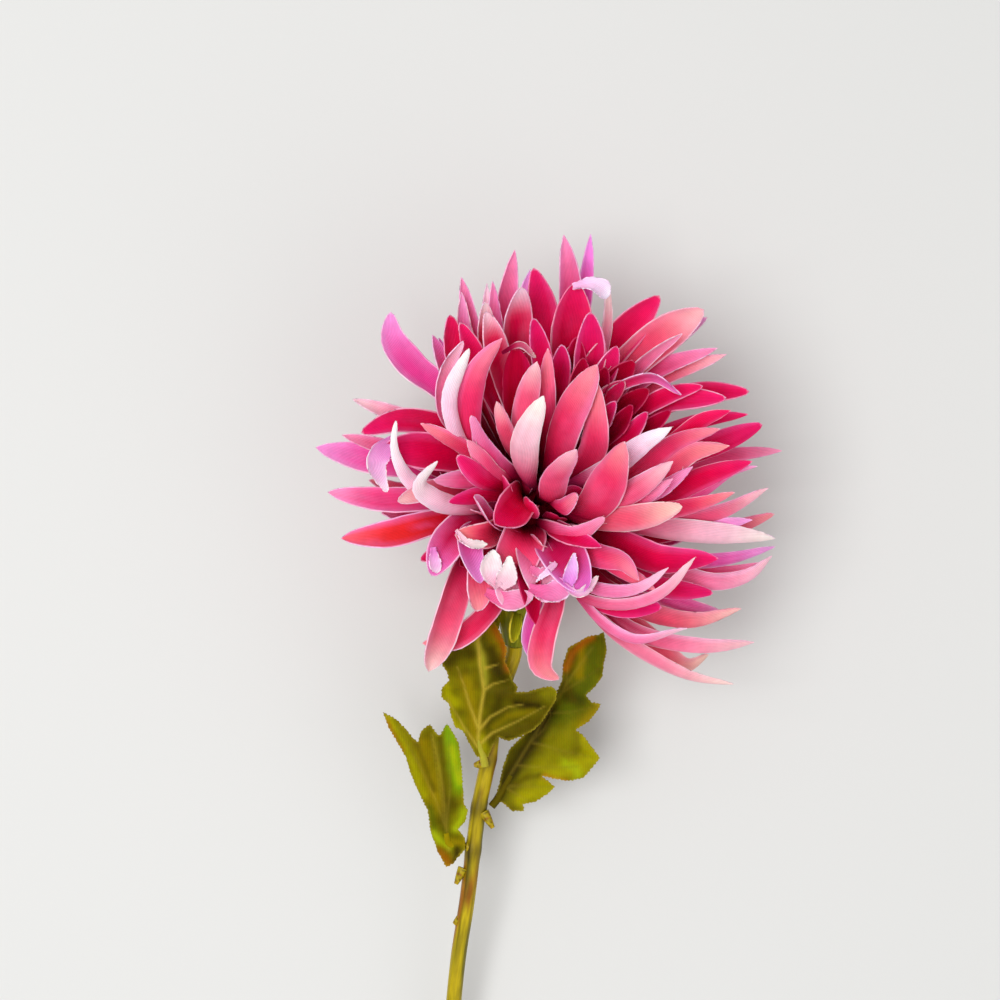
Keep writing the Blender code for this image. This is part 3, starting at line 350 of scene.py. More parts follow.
# Petals that the photo shows, as (whorl, rise of the roots, face, petals). A petal is (look, form,
# width, lift of the tip off the bloom form, belly, roll in degrees, then its photo points).
WHORLS = [
    ("rim, left and lower left", 1.0, 1, [
        ("l", "spoon", 8.5, -8, 6, 0, 440, 388, 410, 365, 390, 338, 387, 315),
        ("r", "lens", 5.5, -8, 6, 10, 400, 418, 352, 403),
        ("p", "lens", 5.0, -12, 5, 0, 375, 445, 343, 437),
        ("l", "lens", 8.5, -8, 7, 0, 430, 468, 385, 462, 318, 448),
        ("c", "spoon", 7.0, -3, 8, 0, 435, 425, 400, 420, 361, 430),
        ("c", "spoon", 10.5, -4, 8, 0, 475, 462, 430, 452, 383, 450),
        ("p", "lens", 7.0, -6, 8, 0, 440, 500, 385, 500, 330, 490),
        ("s", "bowl", 5.5, -3, 8, 0, 430, 490, 396, 501),
        ("o", "lens", 8.0, -4, 9, 0, 445, 520, 390, 534, 342, 536),
        ("m", "spoon", 9.0, -7, 10, 0, 468, 520, 444, 545, 428, 573),
        ("s", "lens", 9.5, -2, 15, 0, 468, 560, 446, 618, 431, 673),
        ("k", "lens", 6.5, -14, 10, 0, 497, 600, 458, 638, 423, 643),
        ("l", "bowl", 7.0, -9, 10, 0, 468, 548, 480, 583),
        ("k", "bowl", 9.0, -7, 10, 0, 482, 572, 477, 611),
    ]),
    ("rim, below the gap", 1.0, 1, [
        ("k", "bowl", 12.5, -13, 16, 0, 520, 548, 503, 586),
        ("r", "bowl", 12.0, -7, 10, 0, 514, 578, 512, 611),
        ("r", "bowl", 9.5, -8, 12, 0, 536, 565, 546, 603),
        ("m", "bowl", 12.0, -9, 12, 0, 566, 562, 581, 593),
        ("d", "lens", 6.5, -4, 12, 0, 530, 590, 537, 624),
        ("k", "spoon", 7.2, -2, 14, 0, 555, 600, 543, 640, 541, 666, 557, 679),
        ("l", "lens", 4.6, -7, 12, 20, 536, 610, 530, 640, 546, 674),
        ("c", "lens", 5.5, -9, 8, 0, 578, 540, 600, 548),
        ("p", "spoon", 6.5, -9, 8, 30, 496, 524, 470, 501),
        ("k", "bowl", 7.5, -9, 9, -20, 500, 525, 478, 536, 455, 536),
        ("c", "bowl", 11.0, -11, 12, 0, 522, 498, 497, 527),
    ]),
    ("rim, lower right", 1.0, -1, [
        ("r", "lens", 3.9, 0, 8, 20, 585, 600, 620, 606, 660, 595, 698, 562),
        ("r", "lens", 3.5, 0, 7, 0, 600, 590, 640, 589, 671, 573),
        ("r", "lens", 3.8, -3, 9, 20, 580, 600, 600, 622, 632, 640, 687, 625),
        ("s", "lens", 5.8, -7, 6, 0, 640, 610, 692, 622, 743, 611),
        ("l", "lens", 5.5, -12, 5, 0, 680, 605, 728, 617),
        ("r", "lens", 5.2, -4, 7, 0, 630, 630, 700, 648, 756, 652),
        ("s", "spoon", 6.5, -11, 6, 0, 650, 640, 690, 668, 712, 656),
        ("r", "lens", 4.3, -3, 8, 10, 610, 630, 650, 658, 690, 677, 731, 684),
        ("k", "lens", 6.5, -3, 7, 0, 600, 557, 622, 561, 641, 577),
        ("k", "lens", 5.5, -4, 7, 0, 625, 572, 656, 588),
        ("c", "spoon", 7.0, -9, 6, 0, 600, 600, 660, 613),
        ("v", "lens", 7.6, 5, 11, 10, 610, 524, 690, 534, 778, 541),
        ("c", "lens", 9.0, -5, 7, 0, 600, 537, 660, 561, 717, 552),
        ("l", "lens", 4.5, -7, 6, 0, 700, 562, 778, 554),
        ("r", "lens", 5.5, -3, 7, 0, 680, 575, 715, 583, 752, 575, 775, 556),
        ("p", "lens", 5.0, -10, 5, 0, 720, 575, 769, 567),
        ("c", "spoon", 6.0, -10, 5, 0, 670, 590, 714, 594),
        ("p", "drop", 8.5, -9, 8, 15, 545, 533, 570, 538, 605, 521),
    ]),
    ("right side", 4.0, -1, [
        ("c", "lens", 7.0, -3, 6, 0, 660, 500, 700, 480, 752, 460),
        ("p", "lens", 4.6, -5, 6, 20, 700, 495, 737, 471, 757, 466),
        ("k", "lens", 5.0, 0, 6, 0, 640, 515, 690, 508, 736, 498),
        ("s", "lens", 4.6, -3, 6, 0, 665, 522, 722, 512, 769, 487),
        ("l", "lens", 5.0, -9, 5, 0, 715, 526, 752, 520),
        ("k", "spoon", 5.0, -9, 5, 0, 720, 533, 776, 515),
        ("s", "spoon", 7.0, 1, 8, 0, 600, 522, 640, 518, 681, 510),
        ("c", "spoon", 7.5, -8, 3, 0, 690, 455, 765, 431),
        ("p", "lens", 5.0, -10, 3, 0, 735, 455, 784, 447),
        ("c", "lens", 6.0, -2, 4, 0, 680, 440, 700, 420, 728, 406),
        ("c", "lens", 5.0, -10, 2, 0, 715, 421, 748, 420),
    ]),
    ("far side, outer", 3.0, 1, [
        ("c", "spoon", 6.5, -9, -2, 0, 690, 395, 750, 390),
        ("s", "lens", 5.5, -10, -2, 0, 668, 375, 728, 359),
        ("p", "lens", 5.5, -9, -2, 0, 650, 373, 718, 347),
        ("l", "spoon", 5.0, -13, -2, 0, 670, 345, 709, 321),
        ("s", "spoon", 11.0, -2, -2, 0, 622, 372, 662, 335, 702, 306),
        ("p", "lens", 4.5, -9, 0, 30, 655, 352, 682, 333),
        ("c", "spoon", 9.5, -12, -2, 0, 615, 345, 655, 293),
        ("w", "lens", 4.0, -13, 0, 20, 606, 315, 603, 279),
        ("l", "lens", 5.5, -15, -2, 0, 585, 285, 590, 235),
        ("p", "lens", 8.0, -11, -2, 0, 570, 290, 564, 235),
        ("l", "lens", 5.5, -14, -2, 0, 524, 300, 532, 270),
        ("c", "spoon", 8.5, -6, -2, 0, 545, 340, 539, 267),
        ("p", "lens", 7.0, -12, -2, 0, 506, 300, 512, 250),
        ("f", "spoon", 9.0, -5, -2, 0, 516, 345, 514, 284),
        ("p", "lens", 5.0, -13, 0, 0, 495, 325, 493, 281),
        ("w", "lens", 4.0, -14, 0, 0, 484, 320, 480, 284),
        ("p", "lens", 6.5, -12, 0, 0, 470, 325, 468, 277),
        ("l", "lens", 5.5, -12, 0, 0, 462, 330, 457, 293),
        ("f", "spoon", 6.8, -8, 0, 0, 484, 335, 476, 302),
        ("c", "spoon", 7.5, -9, 2, 0, 455, 350, 453, 313),
        ("m", "lens", 6.0, -10, 2, 0, 444, 365, 432, 334),
    ]),
    ("far side, inner", 8.0, 1, [
        ("c", "spoon", 12.0, -4, -2, 0, 567, 368, 571, 325, 580, 284),
        ("c", "spoon", 8.5, -6, -2, 0, 588, 360, 592, 312),
        ("c", "spoon", 6.0, -4, 0, 0, 540, 355, 531, 316),
        ("f", "spoon", 7.0, -4, 0, 0, 496, 350, 490, 312),
        ("c", "spoon", 6.0, -4, 2, 0, 475, 355, 464, 320),
        ("r", "spoon", 5.0, -2, 4, -10, 443, 400, 446, 365, 458, 340),
        ("c", "spoon", 6.0, -4, 0, 0, 668, 402, 725, 396),
        ("c", "spoon", 5.2, -7, 0, 0, 678, 393, 702, 388),
        ("m", "spoon", 3.0, -5, 2, 40, 630, 381, 652, 375, 683, 389),
    ]),
    ("inner cluster", 14.0, 1, [
        ("c", "spoon", 6.5, -14, 0, 0, 558, 372, 560, 344),
        ("d", "spoon", 6.5, -14, 0, 0, 574, 366, 579, 336),
        ("c", "spoon", 6.5, -15, 0, 0, 590, 368, 599, 338),
        ("c", "spoon", 6.5, -15, 0, 0, 604, 372, 618, 347),
        ("d", "spoon", 6.5, -16, 0, 0, 612, 384, 634, 360),
        ("d", "spoon", 6.0, -15, 0, 0, 578, 385, 584, 358),
        ("d", "spoon", 6.0, -16, 0, 0, 596, 390, 607, 366),
        ("c", "spoon", 6.0, -17, 0, 0, 606, 398, 625, 380),
        ("c", "spoon", 5.0, -11, 0, 0, 603, 420, 616, 401),
        ("d", "spoon", 5.0, -11, 0, 0, 622, 424, 636, 407),
        ("c", "spoon", 5.0, -10, 0, 0, 634, 432, 649, 415),
        ("d", "spoon", 5.0, -9, 0, 0, 652, 428, 674, 413),
        ("d", "spoon", 6.0, -16, 0, 0, 630, 405, 652, 392),
    ]),
    ("near side, incurved", 7.0, -1, [
        ("v", "spoon", 4.6, 2, 9, 25, 480, 466, 456, 432, 450, 400, 469, 350),
        ("k", "lens", 7.5, -1, 8, 15, 474, 450, 469, 405, 482, 368, 506, 343),
        ("d", "spoon", 9.5, -8, 4, 0, 518, 420, 517, 350),
        ("s", "lens", 7.0, -3, 6, 0, 522, 428, 533, 360),
        ("k", "lens", 5.5, -5, 4, 0, 545, 400, 548, 351),
        ("s", "lens", 5.0, -7, 4, 0, 505, 430, 497, 403),
        ("p", "drop", 9.0, -2, 7, 20, 500, 475, 484, 448, 476, 417),
        ("p", "lens", 5.0, -3, 6, 20, 490, 470, 473, 441),
        ("v", "lens", 7.8, 1, 9, 0, 527, 482, 525, 440, 541, 400),
        ("k", "lens", 9.5, 0, 8, 0, 552, 465, 570, 412, 597, 364),
        ("k", "lens", 7.5, -4, 6, 0, 590, 455, 598, 385),
        ("s", "lens", 7.5, 3, 8, 25, 550, 500, 557, 476, 572, 452),
        ("k", "bowl", 4.5, -3, 4, 0, 565, 506, 574, 497),
        ("k", "lens", 11.0, 1, 9, 0, 586, 512, 606, 482, 622, 442),
        ("v", "lens", 6.2, 1, 8, 0, 615, 466, 645, 441, 669, 425),
        ("s", "lens", 6.5, 1, 8, 0, 618, 500, 645, 482, 669, 460),
        ("k", "lens", 5.5, -1, 7, 0, 628, 480, 680, 440, 718, 424),
        ("k", "lens", 6.0, -1, 7, 0, 655, 483, 690, 452, 727, 439),
        ("p", "lens", 4.5, -4, 5, 0, 660, 490, 691, 467),
        ("p", "lens", 4.5, -3, 5, 0, 650, 495, 672, 480),
        ("v", "drop", 6.0, 1, 8, 15, 440, 500, 404, 473, 394, 445, 396, 421),
        ("v", "lens", 6.0, 1, 8, 15, 464, 509, 438, 502, 421, 487, 438, 461),
        ("p", "lens", 6.0, -3, 8, 0, 500, 482, 433, 480),
        ("c", "lens", 5.0, -5, 7, 0, 505, 495, 450, 499),
        ("k", "lens", 5.0, -4, 7, 0, 465, 449, 421, 425),
        ("c", "spoon", 5.5, -2, 6, 0, 480, 478, 459, 461),
    ]),
]

# Petals under the bloom, by rule: (degrees off the bloom axis, length, first and last degrees
# round it from the near side, how many)
HIDDEN_RINGS = ((48, 54, 118, 242, 7), (62, 57, 104, 256, 9), (76, 57, 112, 248, 8),
                (90, 56, 98, 140, 3), (90, 56, 216, 244, 3), (108, 42, 104, 256, 7),
                (120, 44, 262, 306, 3), (124, 40, 160, 232, 3))
HIDDEN_WIDTH = 9.0
HIDDEN_SPREAD = 1.1         # how much wider their cloth is than the solid's
HIDDEN_CURL = 0.22          # how far their tips turn back to the axis, in radians
HIDDEN_DRAWS = {"turn": 0.2, "lean": 4.0, "reach": (0.95, 1.04)}

# Petals that the bloom rests on: degrees round from +X and width
REST_PETALS = ((-4, 9.0), (24, 10.0), (50, 12.0), (79, 10.0), (108, 9.5))
REST_PATH = ((16.0, -30.0), (28.0, -47.0), (44.0, -50.0))   # out from the centre, height


def to_row(point):
    """Millimetres from the bloom's centre to millimetres in the row frame."""
    return Vector((point[0] - FLAT_SPOT[0], point[1] - FLAT_SPOT[1], point[2] + CENTRE_HEIGHT))


def photo_point(across, down, height):
    """A reading in the photo and a height over the bloom's centre, from that centre in mm."""
    scale = PHOTO_UNIT * (1.0 - height / CAMERA_HEIGHT)
    x = (across - PHOTO_MIDDLE[0]) * scale - (CENTRE[0] - PHOTO_MIDDLE[0]) * PHOTO_UNIT
    y = (PHOTO_MIDDLE[1] - down) * scale - (PHOTO_MIDDLE[1] - CENTRE[1]) * PHOTO_UNIT
    return Vector((x, y, height))


def photo_line(readings):
    """The places of some photo points, each with its height."""
    return [photo_point(*reading) for reading in readings]


def pairs(readings):
    """Photo points from a flat run of numbers."""
    return list(zip(readings[0::2], readings[1::2]))


def linear(rgb):
    """Display values from 0 to 255 to linear light, as an array of the same shape."""
    value = np.asarray(rgb, dtype=float) / 255.0
    return np.where(value <= 0.04045, value / 12.92, ((value + 0.055) / 1.055) ** 2.4)


def ramp(low, high, value):
    """Smooth step from 0 at low to 1 at high."""
    t = np.clip((np.asarray(value, dtype=float) - low) / (high - low), 0.0, 1.0)
    return t * t * (3 - 2 * t)


def mix(a, b, share):
    """From a at share 0 to b at share 1."""
    return a * (1 - share) + b * share


def bumps(*place):
    """Smooth noise from about -1 to 1."""
    return noise.noise(Vector(place))


def run_along(points):
    """Distance from the first point along the line to each one."""
    return np.concatenate(([0.0], np.cumsum(np.linalg.norm(np.diff(points, axis=0), axis=1))))


def smooth_path(points, stations):
    """Places at the stations (0 to 1 of the length) of a smooth curve, and its length."""
    pts = np.array([tuple(p) for p in points], dtype=float)
    knots = run_along(pts)
    slopes = np.gradient(pts, knots, axis=0)
    dense = []
    for i in range(len(pts) - 1):
        span = knots[i + 1] - knots[i]
        for u in np.linspace(0.0, 1.0, CURVE_STEPS, endpoint=(i == len(pts) - 2)):
            dense.append((2 * u ** 3 - 3 * u ** 2 + 1) * pts[i] + (u ** 3 - 2 * u ** 2 + u) * span
                         * slopes[i] + (3 * u ** 2 - 2 * u ** 3) * pts[i + 1]
                         + (u ** 3 - u ** 2) * span * slopes[i + 1])
    dense = np.array(dense)
    along = run_along(dense)
    length = along[-1]
    along /= length
    places = np.stack([np.interp(stations, along, dense[:, k]) for k in range(3)], axis=1)
    return places, length


def carried_frames(places, start_normal):
    """Side and normal at each place, with the normal carried along without twist."""
    sides, normals = [], []
    normal = start_normal
    for i in range(len(places)):
        ahead, behind = places[min(i + 1, len(places) - 1)], places[max(i - 1, 0)]
        tangent = Vector(ahead - behind).normalized()
        normal = (normal - tangent * normal.dot(tangent)).normalized()
        sides.append(tangent.cross(normal))
        normals.append(normal)
    return np.array(sides), np.array(normals)


def inner_normal(root, tip, roll, facing):
    """Normal of the inner face, turned towards the camera (facing 1) or away from it (-1)."""
    chord = Vector(tip - root).normalized()
    normal = (BLOOM_AXIS - chord * BLOOM_AXIS.dot(chord)).normalized()
    if facing:
        seen = (Vector((0.0, 0.0, 1.0)) - chord * chord.z).normalized() * facing
        normal = (normal * (1.0 - FACING) + seen * FACING).normalized()
    return mathutils.Quaternion(chord, math.radians(roll)) @ normal


def form_height(across, down):
    """Height over the bloom's centre of the rounded form that the tips follow."""
    off = math.hypot(across - FORM_CENTRE[0], down - FORM_CENTRE[1]) / FORM_RADIUS
    return FORM_BASE + FORM_RISE * math.sqrt(max(0.0, 1.0 - off * off))


def shown_path(rise, lift, belly, readings):
    """Points of a petal of the photo, from its root by the centre out to its tip."""
    spots = pairs(readings)
    tip_height = form_height(*spots[-1]) + lift
    start = BLOOM_AXIS * rise
    flat = [CENTRE] + spots
    runs = [math.dist(a, b) for a, b in zip(flat, flat[1:])]
    points, gone = [], 0.0
    for spot, run in zip(spots, runs):
        gone += run / sum(runs)
        height = start.z + (tip_height - start.z) * gone + belly * 4 * gone * (1 - gone)
        points.append(photo_point(*spot, height))
    root = start + (points[0] - start).normalized() * ROOT_DEPTH
    return [root] + points


def hidden_paths():
    """Paths and widths of the petals under the bloom."""
    draw = random.Random(SEED)
    side = BLOOM_AXIS.cross(NEAR_SIDE).normalized()
    near = side.cross(BLOOM_AXIS).normalized()
    for off, length, first, last, count in HIDDEN_RINGS:
        for i in range(count):
            place = i + draw.uniform(-HIDDEN_DRAWS["turn"], HIDDEN_DRAWS["turn"])
            turn = math.radians(first + (last - first) * place / (count - 1))
            round_it = near * math.cos(turn) + side * math.sin(turn)
            lean = math.radians(off + draw.uniform(-HIDDEN_DRAWS["lean"], HIDDEN_DRAWS["lean"]))
            reach = length * draw.uniform(*HIDDEN_DRAWS["reach"])
            way = BLOOM_AXIS * math.cos(lean) + round_it * math.sin(lean)
            curled = lean - HIDDEN_CURL
            end = BLOOM_AXIS * math.cos(curled) + round_it * math.sin(curled)
            yield [way * ROOT_DEPTH, way * reach * 0.6, end * reach], HIDDEN_WIDTH


def rest_paths():
    """Paths and widths of the petals that the bloom rests on."""
    for turn, width in REST_PETALS:
        out = Vector((math.cos(math.radians(turn)), math.sin(math.radians(turn)), 0.0))
        points = [out * far + Vector((0.0, 0.0, height)) for far, height in REST_PATH]
        yield [points[0].normalized() * ROOT_DEPTH] + points, width


class Cloth:
    """Gathers sheets of cloth of one thickness for a mesh with colours and a map in mm."""

    def __init__(self, thickness):
        self.thickness = thickness
        self.verts, self.faces, self.colours, self.maps, self.grids = [], [], [], [], []
        self.count = 0

    def add(self, grid, normals, faces_in, colour_in, colour_out, spot_map):
        """A sheet: points and normals by vertex, faces, colours of its two faces, map in mm."""
        half = normals * self.thickness / 2
        top, low = grid + half, grid - half
        lift = np.maximum(0.0, -np.minimum(top[:, 2], low[:, 2]))
        top[:, 2] += lift
        low[:, 2] += lift
        n, base = len(grid), self.count
        self.verts += [top, low]
        self.colours += [colour_in, colour_out]
        self.maps += [spot_map, spot_map]
        edges = {}
        for face in faces_in:
            self.faces.append([base + i for i in face])
            self.faces.append([base + n + i for i in reversed(face)])
            for a, b in zip(face, face[1:] + face[:1]):
                edges[(a, b)] = True
        for a, b in edges:
            if (b, a) not in edges:
                self.faces.append([base + b, base + a, base + n + a, base + n + b])
        self.count += 2 * n

    def build(self, name, material):
        """The gathered sheets as one piece."""
        verts, colours, spots = (np.concatenate(x) for x in (self.verts, self.colours, self.maps))
        return add_mesh(name, verts, self.faces, colours, spots, material, SHARP_CLOTH, False)


def add_object(name, data):
    """A new object in the scene."""
    thing = bpy.data.objects.new(name, data)
    bpy.context.scene.collection.objects.link(thing)
    return thing


def add_mesh(name, verts, faces, colours, spots, material, sharp=SHARP_MOULDED, turn_out=True):
    """A mesh of rows in millimetres, with colours and a map by vertex, riding on the flower."""
    mesh = bpy.data.meshes.new(name)
    mesh.from_pydata((np.array(verts) * MM).tolist(), [], faces)
    paint = mesh.color_attributes.new(PAINT, "FLOAT_COLOR", "POINT")
    rgb = np.array(colours, dtype=float)
    paint.data.foreach_set("color", np.concatenate((rgb, np.ones((len(rgb), 1))), axis=1).ravel())
    layer = mesh.uv_layers.new(name=PAINT_MAP)
    corner = np.zeros(len(mesh.loops), dtype=np.int32)
    mesh.loops.foreach_get("vertex_index", corner)
    layer.data.foreach_set("uv", np.array(spots, dtype=float)[corner].ravel())
    if turn_out:
        bm = bmesh.new()
        bm.from_mesh(mesh)
        bmesh.ops.recalc_face_normals(bm, faces=bm.faces)
        bm.to_mesh(mesh)
        bm.free()
    mesh.shade_smooth()
    mesh.set_sharp_from_angle(angle=math.radians(sharp))
    mesh.materials.append(material)
    thing = add_object(name, mesh)
    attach(thing, "root")
    return thing


def grid_faces(rows, columns):
    """Faces of a grid of points that run row by row."""
    return [[r * columns + c, r * columns + c + 1, (r + 1) * columns + c + 1, (r + 1) * columns + c]
            for r in range(rows - 1) for c in range(columns - 1)]


def ring_faces(rings, sides):
    """Faces between closed rings of points that run ring by ring."""
    return [[i * sides + k, i * sides + (k + 1) % sides, (i + 1) * sides + (k + 1) % sides,
             (i + 1) * sides + k] for i in range(rings - 1) for k in range(sides)]


PETAL_FACES = grid_faces(RINGS + 1, len(ACROSS))
STATIONS = 1.0 - (1.0 - np.linspace(0.0, 1.0, RINGS + 1)) ** CROWDING


def petal_outline(form, t):
    """Half width along a petal as a share of the widest, for a form such as a spoon or a bowl."""
    body = np.interp(t, FORM_STATIONS, FORM_WIDTHS[form])
    gone = np.clip((t - 1.0) / TIP_ROUNDING[form] + 1.0, 0.0, 1.0)
    round_end = np.sqrt(np.maximum(1.0 - gone ** 2, 0.0))
    pointed = np.minimum(round_end, TIP_REACH - gone)
    return body * mix(round_end, pointed, TIP_POINT[form] * gone) + LEAST_HALF


def dye_patches(draw):
    """Share from 0 to 1 at each point of a petal, in long uneven patches."""
    place = draw.uniform(0, 90)
    rows = [[bumps(t * 3.2 + place, u * 1.9, place) + 0.5 * bumps(t * 7.0, u * 4.5 + place, 7.0)
             for u in ACROSS] for t in STATIONS]
    return ramp(0.0, 0.75, np.array(rows))


def petal_colours(look, draw, inner):
    """Colour at each point of a petal's inner or outer face."""
    root, body, tip, margin = (linear(c) for c in LOOKS[look])
    t = STATIONS[:, None, None]
    across = ACROSS[None, :, None]
    u = np.abs(across)
    colour = mix(root, body, ramp(*(draw.uniform(*span) for span in ROOT_FADE), t))
    colour = mix(colour, margin, DYE_PATCH * dye_patches(draw)[..., None] * ramp(0.15, 0.5, t))
    start = TIP_START.get(look, draw.uniform(*TIP_STARTS_ELSEWHERE))
    colour = mix(colour, tip, ramp(start, 1.02, t))
    stained = draw.choice((-1, 1))
    edge = ramp(0.3, 1.05, u) * ramp(0.2, 0.75, t) * (0.4 + 0.6 * (across * stained > 0))
    colour = mix(colour, margin, edge * (0.5 if inner else 0.75))
    if inner:
        colour = mix(colour, root, 0.2 * (1 - u) * (1 - ramp(0.7, 1.0, t)))
    beat = t * draw.uniform(4, 9) + draw.uniform(*PHASES) + 2 * np.sign(across)
    worn = 0.25 + 0.75 * np.abs(np.sin(beat))
    cut = np.maximum(ramp(*CUT_SIDE, u), ramp(*CUT_TIP, t)) * ramp(0.15, 0.45, t)
    pale = mix(margin, linear(CUT_EDGE), EDGE_SHARE.get(look, EDGE_SHARE_ELSEWHERE))
    colour = mix(colour, pale, worn * cut)
    streak = np.array([draw.uniform(*STREAK_DRAW) for _ in ACROSS])[None, :, None]
    tone = np.array([draw.uniform(*span) for span in TONE_DRAWS])
    # deep dye and painted shade between the petals darken each petal towards its root
    deep = 1.0 if look in UNSHADED else mix(ROOT_DYE_AND_SHADE, 1.0, ramp(0.05, 0.42, t))
    strong = 1.0 - colour.min(axis=2, keepdims=True) / colour.max(axis=2, keepdims=True)
    if look != GREEN_LOOK:
        colour = colour * (1.0 - strong * np.array(DYE_DEPTH))
    return np.clip(colour * streak * tone * deep, 0.0, 1.0).reshape(-1, 3)


def add_petal(cloth, path, width, roll, facing, look, form, draw):
    """One cloth petal: cupped, its edges waved a little, its tip bent, with ribs in its map."""
    places, length = smooth_path(path, STATIONS)
    sides, normals = carried_frames(places, inner_normal(places[0], places[-1], roll, facing))
    t = STATIONS[:, None]
    u = ACROSS[None, :]
    half = 0.5 * width * petal_outline(form, t)
    half = half * (1 + 0.03 * np.sin(t * draw.uniform(*SIDE_WAVES) + draw.uniform(*PHASES)))
    cup = draw.uniform(*CUP_DRAW) * (1 - 0.25 * t)
    sideways = half * np.sin(cup * u) / cup
    depth = half * (1 - np.cos(cup * u)) / cup
    beat = t * draw.uniform(*EDGE_WAVES) + u + draw.uniform(*PHASES)
    wave = 0.1 * half * u * u * np.sin(beat)
    hook = draw.uniform(*HOOK_DRAW) * length * np.clip((t - 0.65) / 0.35, 0, 1) ** 2
    rough = TORN_FRAY if look in UNSHADED else FRAY
    fray = np.array([[draw.uniform(-rough, rough) for _ in (0, 1)] for _ in STATIONS])
    sideways[:, 0] += fray[:, 0]
    sideways[:, -1] += fray[:, 1]
    skew = draw.uniform(*SKEW_DRAW) * length * np.clip((t - 0.6) / 0.4, 0, 1) ** 2
    crease = -0.03 * width * np.exp(-(u / 0.16) ** 2) * (1 - t)
    deep = depth + wave + hook + crease
    grid = (places[:, None, :] + sides[:, None, :] * (sideways + skew)[..., None]
            + normals[:, None, :] * deep[..., None])
    grid = grid + np.array(to_row((0, 0, 0)))
    along = np.gradient(grid, axis=0)
    over = np.gradient(grid, axis=1)
    face = np.cross(over, along)
    face /= np.linalg.norm(face, axis=2, keepdims=True) + 1e-12
    face *= np.sign(np.sum(face * normals[:, None, :], axis=2, keepdims=True) + 1e-9)
    spot = np.stack((half * u + 0 * t, length * t + 0 * u), axis=2)
    spot[..., 0] += draw.uniform(0, 40)
    cloth.grids.append(grid)
    cloth.add(grid.reshape(-1, 3), face.reshape(-1, 3), petal_winding(grid, face),
              petal_colours(look, draw, True), petal_colours(look, draw, False),
              spot.reshape(-1, 2))


def petal_winding(grid, face):
    """The petal's faces, wound so that they look along the given normals."""
    middle = len(ACROSS) // 2
    a, b, c = grid[0, middle], grid[0, middle + 1], grid[1, middle]
    ahead = np.dot(np.cross(b - a, c - a), face[0, middle]) > 0
    return PETAL_FACES if ahead else [f[::-1] for f in PETAL_FACES]


def feed(node, inputs):
    """Give a node's inputs, by name or number, a value or another node's output."""
    for key, value in inputs.items():
        if isinstance(value, bpy.types.NodeSocket):
            node.id_data.links.new(value, node.inputs[key])
        else:
            node.inputs[key].default_value = value


def add_node(material, kind, inputs, out=0, **settings):
    """A new shader node's output, by name or number."""
    node = material.node_tree.nodes.new("ShaderNode" + kind)
    for key, value in settings.items():
        setattr(node, key, value)
    feed(node, inputs)
    return node.outputs[out]


def shader(name, roughness):
    """A new material and its Principled shader."""
    material = bpy.data.materials.new(name)
    material.use_nodes = True
    principled = material.node_tree.nodes["Principled BSDF"]
    feed(principled, {"Roughness": roughness})
    return material, principled


def paint_and_skin(material, principled, tone, height, strength, depth):
    """The vertex colour times a tone, and a bump of a depth in mm, on the shader."""
    dye_and_shade = add_node(material, "Attribute", {}, attribute_name=PAINT)
    scaled = add_node(material, "VectorMath", {0: dye_and_shade, "Scale": tone}, operation="SCALE")
    relief = {"Strength": strength, "Distance": depth * MM, "Height": height}
    feed(principled, {"Base Color": scaled, "Normal": add_node(material, "Bump", relief)})


def cloth_material(name, rib_gap, rib_depth, roughness):
    """Dyed cloth: vertex colour, pressed lengthwise ribs with painted shade in their grooves, fine
    weave and uneven dye.
    """
    material, principled = shader(name, roughness)
    spot = add_node(material, "UVMap", {}, uv_map=PAINT_MAP)
    lines = {"Vector": spot, "Scale": math.tau / (20 * rib_gap), "Distortion": 0.8, "Detail Scale": 0.4}
    ribs = add_node(material, "TexWave", lines, "Fac")
    weave = add_node(material, "TexNoise", {"Vector": spot, "Scale": 3.2, "Detail": 2.0})
    blotch = add_node(material, "TexNoise", {"Vector": spot, "Scale": 0.22, "Detail": 3.0})
    tone = add_node(material, "MapRange", {"Value": blotch, "To Min": 0.78, "To Max": 1.2})
    # painted shade: darker in the grooves of the pressed ribs, a little lighter on their tops
    rib_groove_shade = add_node(material, "MapRange", {"Value": ribs, "To Min": 0.88, "To Max": 1.05})
    both = add_node(material, "Math", {0: tone, 1: rib_groove_shade}, operation="MULTIPLY")
    height = add_node(material, "Math", {0: weave, 1: 0.35, 2: ribs}, operation="MULTIPLY_ADD")
    paint_and_skin(material, principled, both, height, 0.8, rib_depth)
    feed(principled, {"Specular IOR Level": 0.03, "Subsurface Weight": 0.12,
                      "Subsurface Radius": (1.0, 0.35, 0.35), "Subsurface Scale": 0.0015})
    return material


def plastic_material(name, roughness, grain):
    """Moulded plastic with a mottled paint, lengthwise streaks and a fine uneven skin."""
    material, principled = shader(name, roughness)
    spot = add_node(material, "UVMap", {}, uv_map=PAINT_MAP)
    squeezed = add_node(material, "Mapping", {"Vector": spot, "Scale": (1.0, 0.14, 1.0)})
    streak = add_node(material, "TexNoise", {"Vector": squeezed, "Scale": 1.1, "Detail": 4.0})
    tone = add_node(material, "MapRange", {"Value": streak, "From Min": 0.3, "From Max": 0.7,
                                           "To Min": 0.72, "To Max": 1.2})
    fine = add_node(material, "TexNoise", {"Vector": spot, "Scale": 2.4, "Detail": 3.0})
    height = add_node(material, "Math", {0: streak, 1: fine}, operation="ADD")
    paint_and_skin(material, principled, tone, height, 0.6, grain)
    feed(principled, {"Specular IOR Level": 0.2})
    return material


